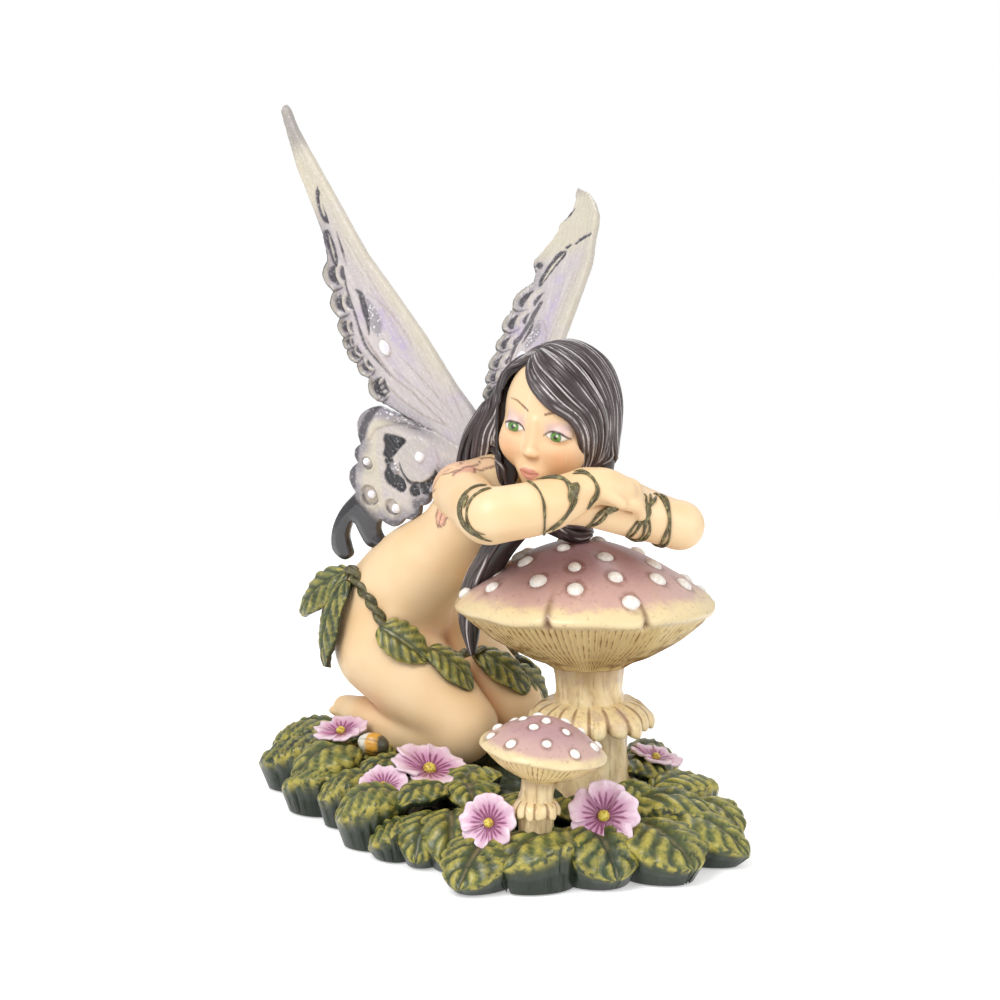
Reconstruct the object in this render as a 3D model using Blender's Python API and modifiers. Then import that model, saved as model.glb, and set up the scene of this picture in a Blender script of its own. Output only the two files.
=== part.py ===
"""A cast and painted fairy figurine that kneels on a bed of leaves and leans on a toadstool.

The figure, the toadstools, the flowers and the leaf bed are one casting. Two butterfly wings
are cast by themselves, and the peg of each sits in a socket in the back. Small glass stones
are glued to the wings.

Metres, +Z up. The origin is the middle of the underside, and the figure faces -Y.
"""

import math

import bmesh
import bpy
from mathutils import Euler, Matrix, Vector

MM = 0.001
MERGE_DISTANCE = 0.02 * MM
SHARP_ANGLE = math.radians(40)

# Leaf bed. Heights of everything that stands on it are counted from BED_TOP.
BED_TOP = 8.0 * MM
BED_BELOW_CUT = 2.0 * MM
BED_OUTLINE = (
    (-52, 40), (-46, 24), (-35, 11), (-27, -8), (-16, -20), (-6, -40), (12, -43), (25, -34),
    (41, -34), (50, -22), (47, -6), (43, 12), (35, 26), (23, 43), (8, 56), (-14, 65), (-36, 66),
    (-50, 56),
)

# Leaves as (base x, y, height), (tip x, y, height), width, counted from the bed's top.
RIM_LEAVES = (
    ((-40, 37, 5), (-59, 39, 2), 13), ((-39, 43, 6), (-56, 49, 4), 12),
    ((-34, 25, 5), (-49, 17, 2), 14), ((-38, 14, 2), (-52, 20, -3), 10),
    ((-29, 6, 3), (-43, 6, -2), 11), ((-22, -9, 3), (-38, -11, -2), 15),
    ((-19, -20, 0), (-30, -20, -6), 11), ((-15, -18, 2), (-19, -31, -6), 10),
    ((-11, -17, 2), (-11, -35, -6), 11), ((0, -34, 2), (-9, -51, -6), 14),
    ((16, -37, 2), (0, -49, -2), 14), ((18, -31, 2), (26, -47, -5), 17),
    ((30, -28, 2), (43, -43, -4), 17), ((37, -17, 1), (56, -29, -5), 13),
    ((29, -15, 3), (52, -14, 0), 14), ((36, -1, 3), (51, 9, 3), 11),
    ((44, -4, 0), (55, -18, -3), 10), ((30, 26, 3), (43, 29, 1), 12),
)
TOP_LEAVES = (
    ((-12, -9, 5), (-24, -15, 3), 11), ((27, -9, 6), (35, -15, 1), 11),
    ((-20, 14, 4), (-33, 9, 4), 12), ((-8, -3, 4), (-6, -17, 3), 12),
    ((-3, 8, 4), (-10, -5, 4), 11), ((26, 14, 4), (40, 10, 3), 12),
    ((-26, 24, 3), (-35, 30, 3), 11), ((8, -12, 3), (4, -27, 3), 13), ((14, -14, 3), (22, -28, 2), 13),
    ((2, 22, 2), (10, 32, 2), 11), ((24, 30, 2), (12, 40, 2), 12), ((-4, -20, 2), (-2, -32, 2), 11),
)
BACK_LEAF_COUNT = 11
BACK_LEAF_LENGTH = 19.0 * MM
BACK_LEAF_WIDTH = 16.0 * MM
BACK_LEAF_TIP_HEIGHT = 3.0 * MM
BACK_LEAF_FALL = 7.0 * MM
BACK_LEAF_CENTRE = Vector((-8.0 * MM, 30.0 * MM, 0))
BACK_LEAF_REACH_X = 46.0 * MM
BACK_LEAF_REACH_Y = 45.0 * MM
BACK_LEAF_FIRST_ANGLE = math.radians(12)
BACK_LEAF_LAST_ANGLE = math.radians(152)
RIM_LEAF_THICKNESS = 4.4 * MM
TOP_LEAF_THICKNESS = 3.2 * MM
LEAF_ARCH = 1.8 * MM

# Both toadstools.
DOME_POWER = 1.75
DOT_FLATNESS = 0.6
STEM_ROOT = 3.0 * MM

# Big toadstool.
BIG_STEM_FOOT = (22.3, 8.0)
BIG_CAP_RADIUS = 30.5 * MM
BIG_CAP_TOP = 60.4 * MM
BIG_CAP_RIM_HEIGHT = 45.6 * MM
BIG_GILL_HEIGHT = 30.2 * MM
BIG_STEM_RADIUS = 8.2 * MM
BIG_RING_RADIUS = 15.5 * MM
BIG_RING_TOP = 22.4 * MM
BIG_RING_DROP = 6.0 * MM
BIG_CAP_SHIFT = Vector((-3.2 * MM, 0.0, 0.0))
BIG_TILT_HEIGHT = 28.2 * MM
BIG_CAP_TILT = math.radians(-4)
BIG_DOT_RADIUS = 1.8 * MM
BIG_DOTS = (
    (-4.4, -6.4), (-13.4, -7.5), (5, -10.8), (-2.2, -15.3), (-10.7, -17.5), (6.9, -17.8),
    (-2.4, -22.2), (-21.3, -11.2),
    (16.7, -12.7), (10.1, -24.1), (-14.5, -1), (-20.1, -3.7), (-23.9, 3.4), (-27.8, -0.1),
    (16.1, -5.1), (23, -6.8),
    (4, 1), (13, 4), (-4, 7), (-13, 9), (5, 12), (15, 13), (-6, 16), (-18, 13), (24, 3), (22, 12),
    (3, 21), (12, 22),
    (-10, 23), (-22, 18), (-1, 27), (19, 20), (27.5, 9),
)

# Small toadstool.
SMALL_STEM_FOOT = (8.0, -37.5)
SMALL_CAP_RADIUS = 14.3 * MM
SMALL_CAP_TOP = 30.0 * MM
SMALL_CAP_RIM_HEIGHT = 22.8 * MM
SMALL_GILL_HEIGHT = 15.6 * MM
SMALL_STEM_RADIUS = 3.9 * MM
SMALL_RING_RADIUS = 5.2 * MM
SMALL_RING_TOP = 11.0 * MM
SMALL_RING_DROP = 3.2 * MM
SMALL_CAP_TILT = math.radians(8)
SMALL_DOT_RADIUS = 1.1 * MM
SMALL_DOTS = (
    (-5.4, 0.4), (-0.4, -2.4), (-3, -4.8), (4.2, -4.5), (-10.6, 2.3), (-12, -2.3), (-7.6, -8.6),
    (0.1, -9.6), (10.9, -2.6),
    (6.5, -9.6), (-2, 4.5), (4, 2.5), (-7, 6.5), (1, 9.5), (8, 5), (-4, 11.5), (6.5, 10.5), (12, 3),
)

# Flowers as (x, y, height of the eye), lean as Euler degrees, radius. All have five petals.
FLOWERS = (
    ((-38.5, 30, 8.2), (8, -8, 0), 6.6), ((-16.6, 3, 5.0), (22, 8, 20), 8.8),
    ((-27, -4, 2.6), (34, -10, 10), 5.4), ((-2.4, -38, 5.6), (60, -42, 0), 6.6),
    ((23.1, -34, 6.4), (64, 6, 0), 8.0), ((36, 17, 4.4), (-6, 16, 0), 6.0),
)
PETAL_COUNT = 5
FLOWER_THICKNESS = 1.6 * MM
FLOWER_STALK_RADII = (2.2 * MM, 2.6 * MM)
FLOWER_STALK_ROOT = 2.0 * MM
BUD = ((-30.3, 21.5, 6.2), (3.6, 3.2, 3.6))

# Figure: joints and the radius of the flesh there, in mm, counted from the bed's top.
TORSO = (
    (-26, 42, 36, 13.2), (-21.5, 36.5, 46, 12.2), (-14, 28.5, 56, 11.4), (-5, 21, 65, 10.4),
    (3, 16.5, 70, 8.6),
)
HIP_BALL = ((-27.5, 41, 33), (13.6, 13.0, 12.6))
SHOULDERS = ((-9, 8.5, 72, 6.4), (5, 16, 73, 7.6), (21, 25, 70, 6.2))
NECK = ((5, 14, 73, 5.2), (11, 10, 83, 5.0))
NEAR_THIGH = ((-28, 37, 27.5, 12.0), (-18.5, 31.5, 19.3, 10.8), (-8.6, 25.5, 11.2, 8.3))
NEAR_SHIN = ((-9.6, 25, 9, 7.4), (-23, 33.5, 8.0, 6.6), (-33.5, 42.5, 9.2, 4.6))
NEAR_FOOT = ((-33.5, 42.5, 9.2, 4.5), (-36.5, 46, 9.6, 3.9), (-38.6, 48.4, 10.2, 2.8))
FAR_THIGH = ((-17, 50, 29, 12.0), (-7.5, 46, 20, 10.6), (2.8, 41.5, 12.0, 8.2))
FAR_SHIN = ((2.0, 43.5, 8.5, 7.0), (-12, 52, 7, 6.4), (-25, 60, 8, 4.5))
FAR_FOOT = ((-25, 60, 8.5, 4.4), (-31, 63, 10, 3.0))
NEAR_UPPER_ARM = ((-9, 8, 72, 6.4), (-6.4, -5, 71.5, 6.2), (-3.2, -16.2, 71, 6.4))
NEAR_FOREARM = ((-1.6, -19.4, 71.6, 6.4), (8.6, -18, 73.2, 6.2), (14.6, -16, 75, 5.5), (19.2, -14, 77.2, 4.3))
NEAR_HAND = ((19.2, -14, 77.2, 4.2), (24, -10.5, 77.2, 4.2), (29.5, -6, 75, 3.2))
FAR_UPPER_ARM = ((21, 24, 70, 6.2), (32.5, 13, 67, 5.4), (41, 2, 65.3, 5.4))
FAR_FOREARM = ((41.7, 0, 65.4, 5.5), (31.1, -4, 68.8, 5.5), (22, -8, 71, 4.6), (16, -9, 71.5, 3.8))
FAR_HAND = ((16, -9, 71.5, 3.7), (10, -10, 70.5, 3.5), (4, -9.5, 69, 2.6))

# Head, in its own frame: x to its left side, -y forward, z up.
HEAD_CENTRE = (14.2, 6.0, 90.2)
HEAD_TURN = Euler((math.radians(20), math.radians(13), math.radians(-31)), "XZY")
HEAD_RADII = (12.0, 13.6, 15.2)
HAIR_RADII = (13.3, 14.4, 16.8)
HAIR_SET_BACK = (0.2, 3.6, 1.0)
NOSE = ((0, -13.8, -4.8), (1.5, 2.0, 1.6))
CHIN = ((0, -9.6, -11.2), (4.6, 4.0, 3.4))

# Locks of hair as tapering strands, in mm from the bed's top.
HAIR_LOCKS = (
    ((21, 8, 99, 4.6), (23.6, 5, 89, 4.2), (23, 4, 80, 4.2), (21.5, 6, 70, 4.0)),
    ((18, 15, 96, 6.6), (19.5, 19, 84, 6.0), (16, 19, 72, 5.0)),
    ((4.6, 6, 99, 3.2), (2.6, 5.5, 90, 3.6), (1.6, 4.5, 82, 3.2), (2, 3, 75, 2.6)),
    ((7, 14, 97, 6.6), (3, 13.5, 88, 6.2), (-1.5, 13, 80, 5.6), (-4.5, 11.5, 73, 4.0)),
    ((12, 20, 92, 7.0), (4.5, 24.5, 82, 4.8), (-1.5, 29, 71, 3.2), (-6, 34, 60, 2.0)),
    ((8, 7, 70, 5.4), (17, 5, 65, 5.2), (22.5, 5, 60, 3.2)),
    (
        (6, 4, 68, 4.5), (0, 3, 61.5, 4.0), (-4, 6, 55.5, 3.6), (-8, 11.5, 49, 3.2),
        (-9.8, 16, 42.5, 2.8),
        (-9.3, 16.5, 37, 2.5), (-8.8, 16, 31.5, 1.2),
    ),
)

# Garland round the hips: a twisted stalk and the leaves tied to it.
GARLAND_STALK = (
    (-35.5, 36, 47.2, 1.7), (-33.8, 32.8, 44, 1.4), (-31.2, 29, 41.2, 1.4), (-28.8, 27.4, 37.5, 1.4),
    (-27, 26.8, 35, 1.5),
    (-20, 25.3, 30.5, 1.3), (-14, 26, 28.5, 1.3), (-9, 30, 28, 1.1), (-4, 37, 27, 1.1),
    (2.5, 38, 22.5, 1.1),
    (7, 40, 18, 1.0), (10, 46, 17, 1.0),
)
GARLAND_BACK_STALK = (
    (-35.5, 36, 47.2, 1.5), (-38, 48, 43, 1.4), (-30, 57, 37, 1.4), (-15, 60, 31, 1.2),
    (0, 57, 24, 1.1), (10, 46, 17, 1.0),
)
GARLAND_LEAVES = (
    ((-37, 34.5, 45), (-42.5, 33, 24), 10, (-0.95, -0.35, 0.1)), ((-37, 40, 46), (-49, 47, 34),
    9, (-0.7, -0.6, 0.6)),
    ((-29, 26.4, 35.4), (-17.3, 23.6, 27.8), 8.5, (0, -0.85, 0.5)),
    ((-17.3, 25.6, 30.2), (-6.5, 23.8, 20.6), 8.5, (0.45, -0.5, 0.7)),
    ((-6, 36.8, 27), (7, 35.4, 17), 8, (0.4, -0.65, 0.65)), ((4, 40, 22), (11.5, 44, 9),
    9, (0.9, -0.4, 0.2)),
    ((-38, 47, 44), (-42, 55, 24), 11, (-1, 0.4, 0)), ((-31, 57, 39), (-33, 63, 20), 11, (-0.4, 1, 0)),
    ((-19, 60, 34), (-19, 66, 16), 11, (0, 1, 0.1)), ((-6, 58, 29), (-4, 63, 12), 10, (0.4, 1, 0.1)),
    ((5, 52, 22), (9, 55, 7), 9, (0.8, 0.6, 0)),
)
GARLAND_LEAF_THICKNESS = 2.2 * MM
GARLAND_LEAF_ARCH = 1.0 * MM

# Wings. A wing's own frame has x along its span, y along its chord and z out of the face shown.
FORE_THICKNESS = 1.8 * MM
HIND_THICKNESS = 2.0 * MM
HIND_STEP = 0.6 * MM
FORE_LEADING = (
    (-8, -3.5), (0, -4.4), (6.4, -3.8), (13.5, -2.4), (27, -1.0), (37, 0.7), (50.6, 3.2), (65.6, 3.9),
    (75, 4.4), (84, 3.2), (89.6, 2.4),
)
FORE_TIP = ((90.2, 3.4), (88.7, 5.4), (81.7, 8.3), (76.3, 9.5), (65.8, 10.7), (59.6, 11.6))
FORE_NOTCHES = (
    (53.5, 13.6), (46.4, 15.9), (40, 17.7), (35.6, 19.3), (32.6, 20.0), (28.6, 19.2), (24.2, 18.0), (17.6, 18.3),
)
FORE_ROOT = ((4, 8), (-8, 2))
FAR_LEADING = (
    (-8, -3.5), (0, -4.4), (6.4, -3.8), (13.5, -2.4), (24, -1.0), (32.6, -0.9), (40.5, -1.9), (50.7, -3.1),
    (58.3, -3.9), (68.1, -3.0), (72.0, -3.0), (76.4, -2.4), (81.2, -0.5), (85.4, 2.0),
)
FAR_TIP = (
    (89.1, 6.1), (86.3, 6.4), (84.4, 5.8), (80.4, 6.0), (77.7, 8.1), (75.7, 9.2), (73.9, 9.0), (70.8, 10.1),
    (67.0, 12.9), (64.9, 14.4), (63.1, 14.2), (60.0, 12.9),
)
FAR_NOTCHES = (
    (55.7, 12.9), (47.6, 16.6), (39.8, 17.2), (33.5, 18.0), (27.5, 18.9), (22.5, 18.1), (17.6, 18.3),
)
HIND_TOP = ((-8, -2), (6, 8))
HIND_NOTCHES = ((17.2, 19.4), (11.0, 28.8), (7.3, 32.0), (1.2, 36.6))
HIND_TAILS = (
    (0.6, 39.0), (-1.4, 44.0), (-4.8, 48.4), (-9.0, 50.8), (-12.5, 49.2), (-12.6, 45.8), (-10.9, 44.6),
    (-8.6, 44.0), (-6.4, 41.6), (-8.5, 41.2), (-11.6, 40.9), (-13.6, 38.7), (-13.8, 35.6), (-11.7, 35.8),
    (-9.6, 35.6), (-7.4, 33.6),
)
HIND_LOWER_NOTCHES = ((-7.4, 33.6), (-9.8, 27.2), (-8.6, 21.4), (-6.6, 17.4), (-4.2, 12.0))
HIND_ROOT = ((-4, 7), (-9, 2))
SCALLOP_BULGE = 0.24
SCALLOP_STEPS = 4
WINGS = {
    "near_wing": {
        "root": (-6.1, 22.0, 81.6), "span": (-0.452, 0.1205, 0.884), "chord": (-0.752, 0.481, -0.450),
        "fore": (FORE_LEADING, FORE_TIP, FORE_NOTCHES), "hind_turn": 0,
        "peg": ((-1, 21, 76), (2.5, 17.5, 71)),
    },
    "far_wing": {
        "root": (8.8, 28.0, 81.5), "span": (0.185, 0.778, 0.600), "chord": (-0.829, 0.451, -0.329),
        "fore": (FAR_LEADING, FAR_TIP, FAR_NOTCHES), "hind_turn": -38,
        "peg": ((8.8, 25.5, 76), (8.4, 19.5, 71)),
    },
}
PEG_RADIUS = 2.3 * MM
PEG_START = Vector((2.0 * MM, 1.0 * MM, 0.2 * MM))
PEG_START_RADIUS = 1.3 * MM
SOCKET_CLEARANCE = 0.3 * MM
CUTTER_GROWTH = 1.6 * SOCKET_CLEARANCE
CUTTER_VOXEL = 0.6 * MM
CUTTER_FACE_SHARE = 0.03

# Stones as wing, (span, chord), (radius along span, along chord), height, on the hind part or not.
STONES = {
    "near_upper_stone": ("near_wing", (28.9, 10.1), (2.0, 1.3), 0.9, False),
    "near_lower_stone": ("near_wing", (2.0, 14.8), (1.45, 1.45), 0.9, True),
    "near_edge_stone_1": ("near_wing", (6.6, 29.3), (1.0, 1.0), 0.6, True),
    "near_edge_stone_2": ("near_wing", (-1.0, 32.4), (1.1, 1.1), 0.6, True),
    "near_edge_stone_3": ("near_wing", (-6.6, 27.9), (1.2, 1.2), 0.7, True),
    "far_upper_stone": ("far_wing", (28.9, 10.1), (2.0, 1.3), 0.9, False),
}
STONE_GLUE = 0.12 * MM

CASTING_VOXEL = 0.8 * MM
CASTING_SMOOTHING = 3
CASTING_SOFTNESS = 0.5
CASTING_TRIANGLES = 9600


def on_bed(point):
    """A point given in mm, with its height counted from the bed's top."""
    return Vector((point[0] * MM, point[1] * MM, point[2] * MM + BED_TOP))


def clear_scene():
    for obj in list(bpy.data.objects):
        bpy.data.objects.remove(obj)


def new_collection(name, shown=True):
    collection = bpy.data.collections.new(name)
    bpy.context.scene.collection.children.link(collection)
    collection.hide_render = not shown
    return collection


def material(name, colour, roughness, metallic=0.0):
    made = bpy.data.materials.new(name)
    made.use_nodes = True
    shader = made.node_tree.nodes["Principled BSDF"]
    shader.inputs["Base Color"].default_value = (*colour, 1.0)
    shader.inputs["Roughness"].default_value = roughness
    shader.inputs["Metallic"].default_value = metallic
    made.diffuse_color = (*colour, 1.0)
    return made


def object_from(bm, name):
    mesh = bpy.data.meshes.new(name)
    bm.to_mesh(mesh)
    bm.free()
    obj = bpy.data.objects.new(name, mesh)
    bpy.context.scene.collection.objects.link(obj)
    return obj


def as_mesh(obj):
    """The object as the viewport shows it, as a plain mesh object with its matrix applied."""
    bpy.context.view_layer.update()
    graph = bpy.context.evaluated_depsgraph_get()
    mesh = bpy.data.meshes.new_from_object(obj.evaluated_get(graph))
    mesh.transform(obj.matrix_world)
    name = obj.name
    bpy.data.objects.remove(obj)
    bm = bmesh.new()
    bm.from_mesh(mesh)
    bmesh.ops.remove_doubles(bm, verts=bm.verts, dist=MERGE_DISTANCE)
    bm.to_mesh(mesh)
    bm.free()
    made = bpy.data.objects.new(name, mesh)
    bpy.context.scene.collection.objects.link(made)
    return made


def ball(name, centre, radii, turn=None, segments=20):
    bm = bmesh.new()
    bmesh.ops.create_uvsphere(bm, u_segments=segments, v_segments=segments // 2, radius=1.0)
    bmesh.ops.scale(bm, vec=Vector(radii), verts=bm.verts)
    matrix = turn.to_matrix() if turn else Matrix.Identity(3)
    bmesh.ops.rotate(bm, cent=(0, 0, 0), matrix=matrix, verts=bm.verts)
    bmesh.ops.translate(bm, vec=centre, verts=bm.verts)
    return object_from(bm, name)


def tube(name, points, radii, sides=3):
    """A tapering round tube through the points, with filled ends."""
    curve = bpy.data.curves.new(name, "CURVE")
    curve.dimensions = "3D"
    curve.bevel_depth = 1.0
    curve.bevel_resolution = sides
    curve.resolution_u = 5
    curve.use_fill_caps = True
    spline = curve.splines.new("BEZIER")
    spline.bezier_points.add(len(points) - 1)
    for knot, place, radius in zip(spline.bezier_points, points, radii):
        knot.co = place
        knot.radius = radius
        knot.handle_left_type = "AUTO"
        knot.handle_right_type = "AUTO"
    obj = bpy.data.objects.new(name, curve)
    bpy.context.scene.collection.objects.link(obj)
    return as_mesh(obj)


def limb(name, joints):
    """A tapering tube with a round end at both ends, from (x, y, height, radius) in mm."""
    places = [on_bed(joint) for joint in joints]
    radii = [joint[3] * MM for joint in joints]
    return [
        tube(name, places, radii, sides=5),
        ball(name + "_start", places[0], [radii[0]] * 3),
        ball(name + "_end", places[-1], [radii[-1]] * 3),
    ]


def turned(name, profile, foot, lean=Vector((0, 0, 0)), steps=36):
    """A round solid from (radius, height) down its outer side. lean moves its top sideways."""
    mesh = bpy.data.meshes.new(name)
    corners = [(radius, 0.0, height) for radius, height in profile]
    edges = [(i, i + 1) for i in range(len(corners) - 1)]
    mesh.from_pydata(corners, edges, [])
    obj = bpy.data.objects.new(name, mesh)
    bpy.context.scene.collection.objects.link(obj)
    screw = obj.modifiers.new("turn", "SCREW")
    screw.axis = "Z"
    screw.steps = steps
    screw.render_steps = steps
    screw.use_merge_vertices = True
    screw.merge_threshold = MERGE_DISTANCE
    solid = as_mesh(obj)
    top = profile[0][1]
    for vertex in solid.data.vertices:
        vertex.co += lean * max(0.0, vertex.co.z / top) + foot
    return solid


def leaf(name, base, tip, width, up, thickness, arch=LEAF_ARCH, rows=9, columns=6):
    """A thick leaf from a bent grid, with a fold along its middle."""
    bm = bmesh.new()
    bmesh.ops.create_grid(bm, x_segments=rows, y_segments=columns, size=0.5)
    along = tip - base
    length = along.length
    side = along.cross(up).normalized()
    lift = side.cross(along).normalized()
    for vertex in bm.verts:
        share = vertex.co.x + 0.5
        across = vertex.co.y * 2
        half = 0.5 * width * (0.16 + 0.84 * math.sin(math.pi * min(1.0, share) ** 0.8) ** 0.8)
        crown = arch * math.sin(math.pi * share) + 0.16 * half * (1 - across**2)
        fold = -0.10 * half * math.exp(-((across / 0.2) ** 2))
        vertex.co = base + along * share + side * (across * half) + lift * (crown + fold)
    top_faces = list(bm.faces)
    made = bmesh.ops.extrude_face_region(bm, geom=top_faces)
    lower = [item for item in made["geom"] if isinstance(item, bmesh.types.BMVert)]
    bmesh.ops.translate(bm, vec=-lift * thickness, verts=lower)
    bmesh.ops.recalc_face_normals(bm, faces=bm.faces)
    return object_from(bm, name)


def flower(name, centre, lean, radius):
    """A shallow five-lobed cup with a round eye."""
    bm = bmesh.new()
    bmesh.ops.create_circle(bm, cap_ends=False, segments=30, radius=1.0)
    rim = list(bm.verts)
    rings = [rim]
    for share in (0.6, 0.25):
        ring = []
        for vertex in rim:
            ring.append(bm.verts.new(vertex.co * share))
        rings.append(ring)
    hub = bm.verts.new((0, 0, 0))
    count = len(rim)
    for outer, inner in zip(rings, rings[1:]):
        for i in range(count):
            j = (i + 1) % count
            bm.faces.new((outer[i], outer[j], inner[j], inner[i]))
    for i in range(count):
        bm.faces.new((rings[-1][i], rings[-1][(i + 1) % count], hub))
    for vertex in bm.verts:
        reach = vertex.co.length
        lobe = 1 - 0.13 * reach * (1 - abs(math.cos(PETAL_COUNT / 2 * math.atan2(vertex.co.y, vertex.co.x))))
        vertex.co = vertex.co * (radius * lobe)
        vertex.co.z = 0.28 * radius * reach**2
    bmesh.ops.recalc_face_normals(bm, faces=bm.faces)
    made = bmesh.ops.extrude_face_region(bm, geom=list(bm.faces))
    lower = [item for item in made["geom"] if isinstance(item, bmesh.types.BMVert)]
    bmesh.ops.translate(bm, vec=(0, 0, -FLOWER_THICKNESS), verts=lower)
    bmesh.ops.recalc_face_normals(bm, faces=bm.faces)
    turn = Euler([math.radians(angle) for angle in lean], "XYZ").to_matrix()
    bmesh.ops.rotate(bm, cent=(0, 0, 0), matrix=turn, verts=bm.verts)
    bmesh.ops.translate(bm, vec=centre, verts=bm.verts)
    foot = Vector((centre.x, centre.y, BED_TOP - FLOWER_STALK_ROOT))
    top = centre - turn @ Vector((0, 0, FLOWER_THICKNESS / 2))
    return [object_from(bm, name), tube(name + "_stalk", [top, foot], FLOWER_STALK_RADII)]


def bed_slab():
    curve = bpy.data.curves.new("bed", "CURVE")
    curve.dimensions = "2D"
    curve.fill_mode = "BOTH"
    curve.extrude = (BED_TOP + BED_BELOW_CUT) / 2
    curve.resolution_u = 4
    spline = curve.splines.new("BEZIER")
    spline.bezier_points.add(len(BED_OUTLINE) - 1)
    spline.use_cyclic_u = True
    for knot, (x, y) in zip(spline.bezier_points, BED_OUTLINE):
        knot.co = (x * MM, y * MM, 0)
        knot.handle_left_type = "AUTO"
        knot.handle_right_type = "AUTO"
    obj = bpy.data.objects.new("bed", curve)
    bpy.context.scene.collection.objects.link(obj)
    obj.location.z = (BED_TOP - BED_BELOW_CUT) / 2
    return as_mesh(obj)


def bed_leaves():
    made = []
    upward = Vector((0, 0, 1))
    rows = (("rim", RIM_LEAVES, RIM_LEAF_THICKNESS), ("top", TOP_LEAVES, TOP_LEAF_THICKNESS))
    for row, leaves, thickness in rows:
        for number, (base, tip, width) in enumerate(leaves):
            name = f"{row}_leaf_{number}"
            made.append(leaf(name, on_bed(base), on_bed(tip), width * MM, upward, thickness))
    step = (BACK_LEAF_LAST_ANGLE - BACK_LEAF_FIRST_ANGLE) / (BACK_LEAF_COUNT - 1)
    for number in range(BACK_LEAF_COUNT):
        angle = BACK_LEAF_FIRST_ANGLE + step * number
        outward = Vector((math.cos(angle), math.sin(angle), 0))
        reach = Vector((BACK_LEAF_REACH_X * outward.x, BACK_LEAF_REACH_Y * outward.y, BACK_LEAF_TIP_HEIGHT))
        tip = BACK_LEAF_CENTRE + reach
        base = tip - outward * BACK_LEAF_LENGTH + Vector((0, 0, BACK_LEAF_FALL))
        made.append(leaf(f"back_leaf_{number}", base, tip, BACK_LEAF_WIDTH, upward, RIM_LEAF_THICKNESS))
    return made


def toadstool_profile(cap_radius, cap_top, rim, gill, stem, ring_radius, ring_top, ring_drop):
    rise = cap_top - rim
    lip = 0.07 * cap_radius
    return [
        (0, cap_top), (0.18 * cap_radius, cap_top - 0.04 * rise),
        (0.38 * cap_radius, cap_top - 0.16 * rise),
        (0.6 * cap_radius, cap_top - 0.42 * rise), (0.82 * cap_radius, cap_top - 0.76 * rise),
        (0.97 * cap_radius, rim + 0.02 * rise), (cap_radius, rim - 0.4 * lip),
        (0.97 * cap_radius, rim - lip),
        (0.74 * cap_radius, rim - lip - 0.46 * (rim - lip - gill)),
        (0.48 * cap_radius, rim - lip - 0.86 * (rim - lip - gill)), (stem * 1.08, gill),
        (stem * 0.94, gill - 0.12 * gill),
        (stem, ring_top), (0.6 * ring_radius + 0.4 * stem, ring_top - 0.15 * ring_drop),
        (ring_radius, ring_top - 0.62 * ring_drop), (0.96 * ring_radius, ring_top - ring_drop),
        (stem * 1.05, ring_top - 0.8 * ring_drop), (stem * 1.02, 0.3 * ring_top),
        (stem * 1.18, -STEM_ROOT), (0, -STEM_ROOT),
    ]


def cap_dots(name, frame, radius, rise, dot, places):
    """Raised round warts on a cap, at places in mm from its axis."""
    made = []
    for number, (x, y) in enumerate(places):
        share = math.hypot(x, y) * MM / radius
        spot = Vector((x * MM, y * MM, rise * (1 - share**DOME_POWER)))
        slope = math.atan2(DOME_POWER * rise * share ** (DOME_POWER - 1), radius)
        turn = Euler((0, slope, math.atan2(y, x)), "XYZ")
        turn = (frame.to_3x3() @ turn.to_matrix()).to_euler()
        made.append(ball(f"{name}_{number}", frame @ spot, (dot, dot, DOT_FLATNESS * dot), turn, segments=10))
    return made


def tilted_above(solid, pivot, tilt):
    """Tilt everything above the pivot about it, for a cap that sits askew on its stem."""
    frame = Matrix.Translation(pivot) @ tilt.to_4x4() @ Matrix.Translation(-pivot)
    for vertex in solid.data.vertices:
        if vertex.co.z > pivot.z:
            vertex.co = frame @ vertex.co
    return frame


def toadstools():
    big_foot = on_bed((*BIG_STEM_FOOT, 0))
    big = turned(
        "big_toadstool",
        toadstool_profile(
            BIG_CAP_RADIUS, BIG_CAP_TOP, BIG_CAP_RIM_HEIGHT, BIG_GILL_HEIGHT, BIG_STEM_RADIUS, BIG_RING_RADIUS,
            BIG_RING_TOP, BIG_RING_DROP,
        ),
        big_foot, BIG_CAP_SHIFT,
    )
    pivot = big_foot + Vector((0, 0, BIG_TILT_HEIGHT))
    frame = tilted_above(big, pivot, Matrix.Rotation(BIG_CAP_TILT, 3, "X"))
    shift = BIG_CAP_SHIFT * (BIG_CAP_RIM_HEIGHT / BIG_CAP_TOP)
    rim_centre = big_foot + shift + Vector((0, 0, BIG_CAP_RIM_HEIGHT))
    made = [big]
    made += cap_dots(
        "big_dot", frame @ Matrix.Translation(rim_centre),
        BIG_CAP_RADIUS, BIG_CAP_TOP - BIG_CAP_RIM_HEIGHT,
        BIG_DOT_RADIUS, BIG_DOTS,
    )
    small_foot = on_bed((*SMALL_STEM_FOOT, 0))
    small = turned(
        "small_toadstool",
        toadstool_profile(
            SMALL_CAP_RADIUS, SMALL_CAP_TOP, SMALL_CAP_RIM_HEIGHT, SMALL_GILL_HEIGHT, SMALL_STEM_RADIUS,
            SMALL_RING_RADIUS, SMALL_RING_TOP, SMALL_RING_DROP,
        ),
        small_foot,
    )
    pivot = small_foot + Vector((0, 0, SMALL_RING_TOP))
    frame = tilted_above(small, pivot, Matrix.Rotation(SMALL_CAP_TILT, 3, "Y"))
    rim_centre = small_foot + Vector((0, 0, SMALL_CAP_RIM_HEIGHT))
    made.append(small)
    made += cap_dots(
        "small_dot", frame @ Matrix.Translation(rim_centre),
        SMALL_CAP_RADIUS, SMALL_CAP_TOP - SMALL_CAP_RIM_HEIGHT,
        SMALL_DOT_RADIUS, SMALL_DOTS,
    )
    return made


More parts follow.
